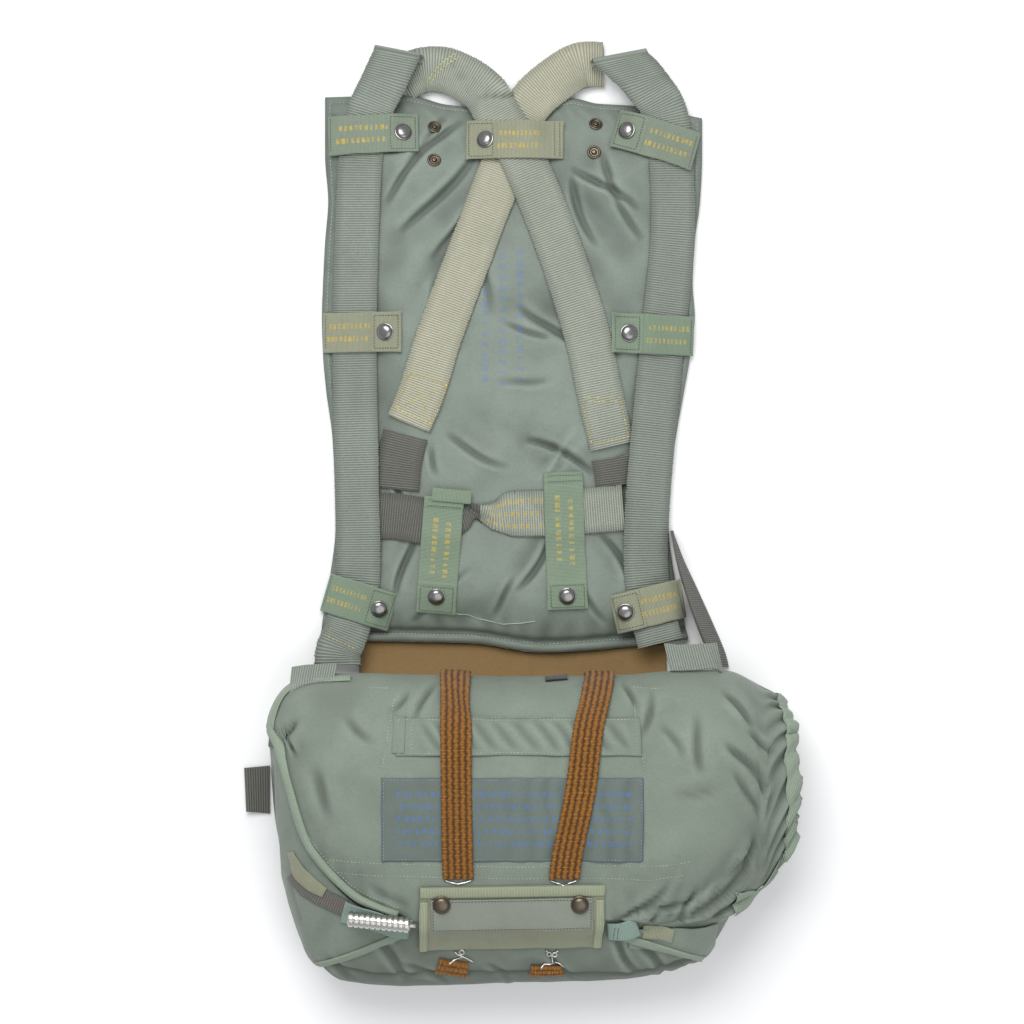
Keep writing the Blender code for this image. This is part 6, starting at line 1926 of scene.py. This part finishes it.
def build_stage():
    """Floor, soft lights and the camera straight above."""
    scene = bpy.context.scene
    camera = bpy.data.objects.new("camera", bpy.data.cameras.new("camera"))
    camera.data.lens = CAMERA_LENS
    camera.data.sensor_width = 36.0
    camera.location = CAMERA_PLACE
    scene.collection.objects.link(camera)
    scene.camera = camera
    for row in LIGHTS:
        light = bpy.data.lights.new(row["name"], "AREA")
        light.shape = "DISK"
        light.size = row["size"]
        light.energy = row["watts"]
        thing = bpy.data.objects.new(row["name"], light)
        thing.location = row["place"]
        thing.rotation_euler = (-Vector(row["place"])).to_track_quat("-Z", "Y").to_euler()
        scene.collection.objects.link(thing)
    world = bpy.data.worlds.new("studio")
    world.use_nodes = True
    world.node_tree.nodes["Background"].inputs["Color"].default_value = (0.95, 0.97, 1.0, 1.0)
    world.node_tree.nodes["Background"].inputs["Strength"].default_value = 0.6
    scene.world = world
    scene.view_settings.view_transform = "Standard"
    half = 6.0
    mesh = bpy.data.meshes.new("floor")
    mesh.from_pydata([(-half, -half, 0), (half, -half, 0), (half, half, 0), (-half, half, 0)], [],
                     [(0, 1, 2, 3)])
    made = bpy.data.materials.new("floor_paint")
    made.use_nodes = True
    tree = made.node_tree
    shader = tree.nodes["Principled BSDF"]
    rgb = tuple(colours().floor)
    tree.links.new(mixed(tree, cloud(tree, 1.5, 3.0), tinted(rgb, 0.99), tinted(rgb, 1.0)),
                   shader.inputs["Base Color"])
    shader.inputs["Roughness"].default_value = 0.9
    mesh.materials.append(made)
    floor = bpy.data.objects.new("floor", mesh)
    scene.collection.objects.link(floor)


def build_harness():
    for row in WEBS:
        build_web(row)
    build_loose_webs()


def build_container():
    build_body()
    build_side_flap("side_flap_left", -218.0, -108.0, LOW_LEFT_SEAM)
    build_side_flap("side_flap_right", 108.0, 194.0, LOW_RIGHT_SEAM)
    build_flap()
    build_tan_panel()


def build_bindings():
    half = 4.25
    build_binding("hem_binding", "binding_left", hem_rows(-222, -104, 13), half)
    build_binding("low_left_piping", "binding_low_left", LOW_LEFT_SEAM[1:], half,
                  on=("side_flap_left_cloth", "container_body"))
    build_binding("low_right_piping", "binding_low_right", LOW_RIGHT_SEAM[:-1], half,
                  on=("side_flap_right_cloth", "container_body"))
    build_end_binding()


def build_bands():
    build_band("left_opening_band", "opening_band_left", BAND_LEFT)
    build_band("right_opening_band", "opening_band_right", BAND_RIGHT)
    build_low_band("left_band_end", "low_band_left", table("x y", [(-69, -424), (-41, -429)]), 9.0)
    build_low_band("right_band_end", "low_band_right", table("x y", [(17, -430), (48, -430)]), 6.5)


def build_closure():
    build_strap_on_pack("housing_cloth", "housing_base", table("x y", [(-156, -368), (-93, -384)]), 11.0,
                        "blue_cloth", 1.6)
    build_strap_on_pack("end_strap_cloth", "end_strap",
                        table("x y", [(88, -387), (103, -385), (116, -381)]), 9.0, "blue_cloth",
                        1.6)
    build_housing()
    build_cover()
    build_hooks()


def small_piece(name, route, half, finish, under, rise=0.4, thick=1.2, slack=0.4, tone=0.0,
                plan=pack_plan, reach=40.0):
    """A small strip of cloth lying on a made piece."""
    across = np.array([-1.0, -0.9, -0.5, 0.0, 0.5, 0.9, 1.0])
    base, out = strip_grid(route, 1.0, across, half, plan)
    height = soften(fill_missing(highest(under, base, out, reach)), 3.0, 0.6)
    fine = slack * roughness_field(base[..., 0], base[..., 1], 11.0, half)
    top = base + out * (height + rise + thick + fine)[..., None]
    shade = np.full(top.shape[:2], tone)
    thing, run, width = cloth(name, top, out, thick, finish, shade)


def build_small_pieces():
    """Seam band of the left side flap, black tag, pocket tab and the folded strap end."""
    flap, side = "container_top_flap", "side_flap_left_cloth"
    small_piece("side_band", table("x y half", [(-206, -335, 7), (-190, -347, 9), (-172, -357, 9),
                                                (-152, -365, 9)]), 9.0, "webbing_dark",
                (side, "container_body"), 0.5)
    small_piece("black_tag", table("x y", [(31, -160.5), (52, -159)]), 1.7, "black_tape",
                (flap, "container_body"), 0.6)
    small_piece("pocket_tab", table("x y", [(-104, -222), (-103, -190)]), 5.6, "pack_nylon",
                ("pocket_cloth", flap), 0.2, 0.9)
    small_piece("side_tuck", table("x y half", [(-205, -314, 3), (-197, -331, 6.5), (-184, -343, 6.5),
                                                (-172, -350, 5)]), 6.0, "tape_olive",
                ("side_band", side), 0.5, 1.2, 0.8, -0.2)
    small_piece("tab_fold", table("x y", [(-75.5, 17), (-38.5, 13.5)]), 6.2, "tape_green",
                ("tab_pair_left_tape",), 0.9, 1.3, 0.3, 0.25, floor_plan, 150.0)
    small_piece("strap_tuck", table("x y", [(121, -388), (136, -389), (149, -392)]), 6.5, "tape_olive",
                ("side_flap_right_cloth", "container_body"), 0.6, 1.4, 1.2, 0.3)


def build_tabs():
    for row in TABS:
        build_tab(row)


def build_stitching():
    build_small_pieces()
    build_tab_stitches()
    build_web_stitches()
    build_pad_stitches()
    build_pack_stitches()


class OBJECT_OT_parachute_stage(bpy.types.Operator):
    """Add the floor, the soft lights and the camera above"""
    bl_idname = "object.parachute_stage"
    bl_label = "Stage"

    def execute(self, context):
        build_stage()
        return {"FINISHED"}


class OBJECT_OT_parachute_pad(bpy.types.Operator):
    """Build the filled back pad with its hem and creases"""
    bl_idname = "object.parachute_pad"
    bl_label = "Back pad"

    def execute(self, context):
        build_pad()
        return {"FINISHED"}


class OBJECT_OT_parachute_container(bpy.types.Operator):
    """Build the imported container, its flaps and the tan panel"""
    bl_idname = "object.parachute_container"
    bl_label = "Container"

    def execute(self, context):
        build_container()
        return {"FINISHED"}


class OBJECT_OT_parachute_harness(bpy.types.Operator):
    """Lay the ribbed harness webbing"""
    bl_idname = "object.parachute_harness"
    bl_label = "Harness webbing"

    def execute(self, context):
        build_harness()
        return {"FINISHED"}


class OBJECT_OT_parachute_tabs(bpy.types.Operator):
    """Lay the tape tabs over the webbing"""
    bl_idname = "object.parachute_tabs"
    bl_label = "Snap tabs"

    def execute(self, context):
        build_tabs()
        return {"FINISHED"}


class OBJECT_OT_parachute_patches(bpy.types.Operator):
    """Sew on the pocket strip and the data patch"""
    bl_idname = "object.parachute_patches"
    bl_label = "Pocket and patch"

    def execute(self, context):
        build_patches()
        return {"FINISHED"}


class OBJECT_OT_parachute_bindings(bpy.types.Operator):
    """Bind the edges of the container's flaps"""
    bl_idname = "object.parachute_bindings"
    bl_label = "Bindings"

    def execute(self, context):
        build_bindings()
        return {"FINISHED"}


class OBJECT_OT_parachute_bands(bpy.types.Operator):
    """Stretch the shirred opening bands over the container"""
    bl_idname = "object.parachute_bands"
    bl_label = "Opening bands"

    def execute(self, context):
        build_bands()
        return {"FINISHED"}


class OBJECT_OT_parachute_closure(bpy.types.Operator):
    """Build the cable housing, pin cover, end strap and hooks"""
    bl_idname = "object.parachute_closure"
    bl_label = "Closure"

    def execute(self, context):
        build_closure()
        return {"FINISHED"}


class OBJECT_OT_parachute_fasteners(bpy.types.Operator):
    """Set the snap caps and open studs"""
    bl_idname = "object.parachute_fasteners"
    bl_label = "Snaps and studs"

    def execute(self, context):
        build_fasteners()
        return {"FINISHED"}


class OBJECT_OT_parachute_stitching(bpy.types.Operator):
    """Sew the stitches of tabs, webs, pad and container"""
    bl_idname = "object.parachute_stitching"
    bl_label = "Stitching"

    def execute(self, context):
        build_stitching()
        return {"FINISHED"}


STEPS = (
    OBJECT_OT_parachute_stage, OBJECT_OT_parachute_pad, OBJECT_OT_parachute_container,
    OBJECT_OT_parachute_harness, OBJECT_OT_parachute_tabs, OBJECT_OT_parachute_patches,
    OBJECT_OT_parachute_bindings, OBJECT_OT_parachute_bands, OBJECT_OT_parachute_closure,
    OBJECT_OT_parachute_fasteners, OBJECT_OT_parachute_stitching,
)


class VIEW3D_PT_parachute(bpy.types.Panel):
    """Sizes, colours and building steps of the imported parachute"""
    bl_label = "Packed parachute"
    bl_idname = "VIEW3D_PT_parachute"
    bl_space_type = "VIEW_3D"
    bl_region_type = "UI"
    bl_category = "Parachute"

    def draw(self, context):
        for step in STEPS:
            self.layout.operator(step.bl_idname)
        for group in (context.scene.parachute_sizes, context.scene.parachute_colours):
            for key in group.__annotations__:
                self.layout.prop(group, key)


CLASSES = (ParachuteSizes, ParachuteColours, *STEPS, VIEW3D_PT_parachute)


def register():
    for kind in CLASSES:
        bpy.utils.register_class(kind)
    bpy.types.Scene.parachute_sizes = bpy.props.PointerProperty(type=ParachuteSizes)
    bpy.types.Scene.parachute_colours = bpy.props.PointerProperty(type=ParachuteColours)


def unregister():
    del bpy.types.Scene.parachute_sizes
    del bpy.types.Scene.parachute_colours
    for kind in reversed(CLASSES):
        bpy.utils.unregister_class(kind)


def main():
    register()
    for step in STEPS:
        group, name = step.bl_idname.split(".")
        getattr(getattr(bpy.ops, group), name)()


if __name__ == "__main__":
    main()
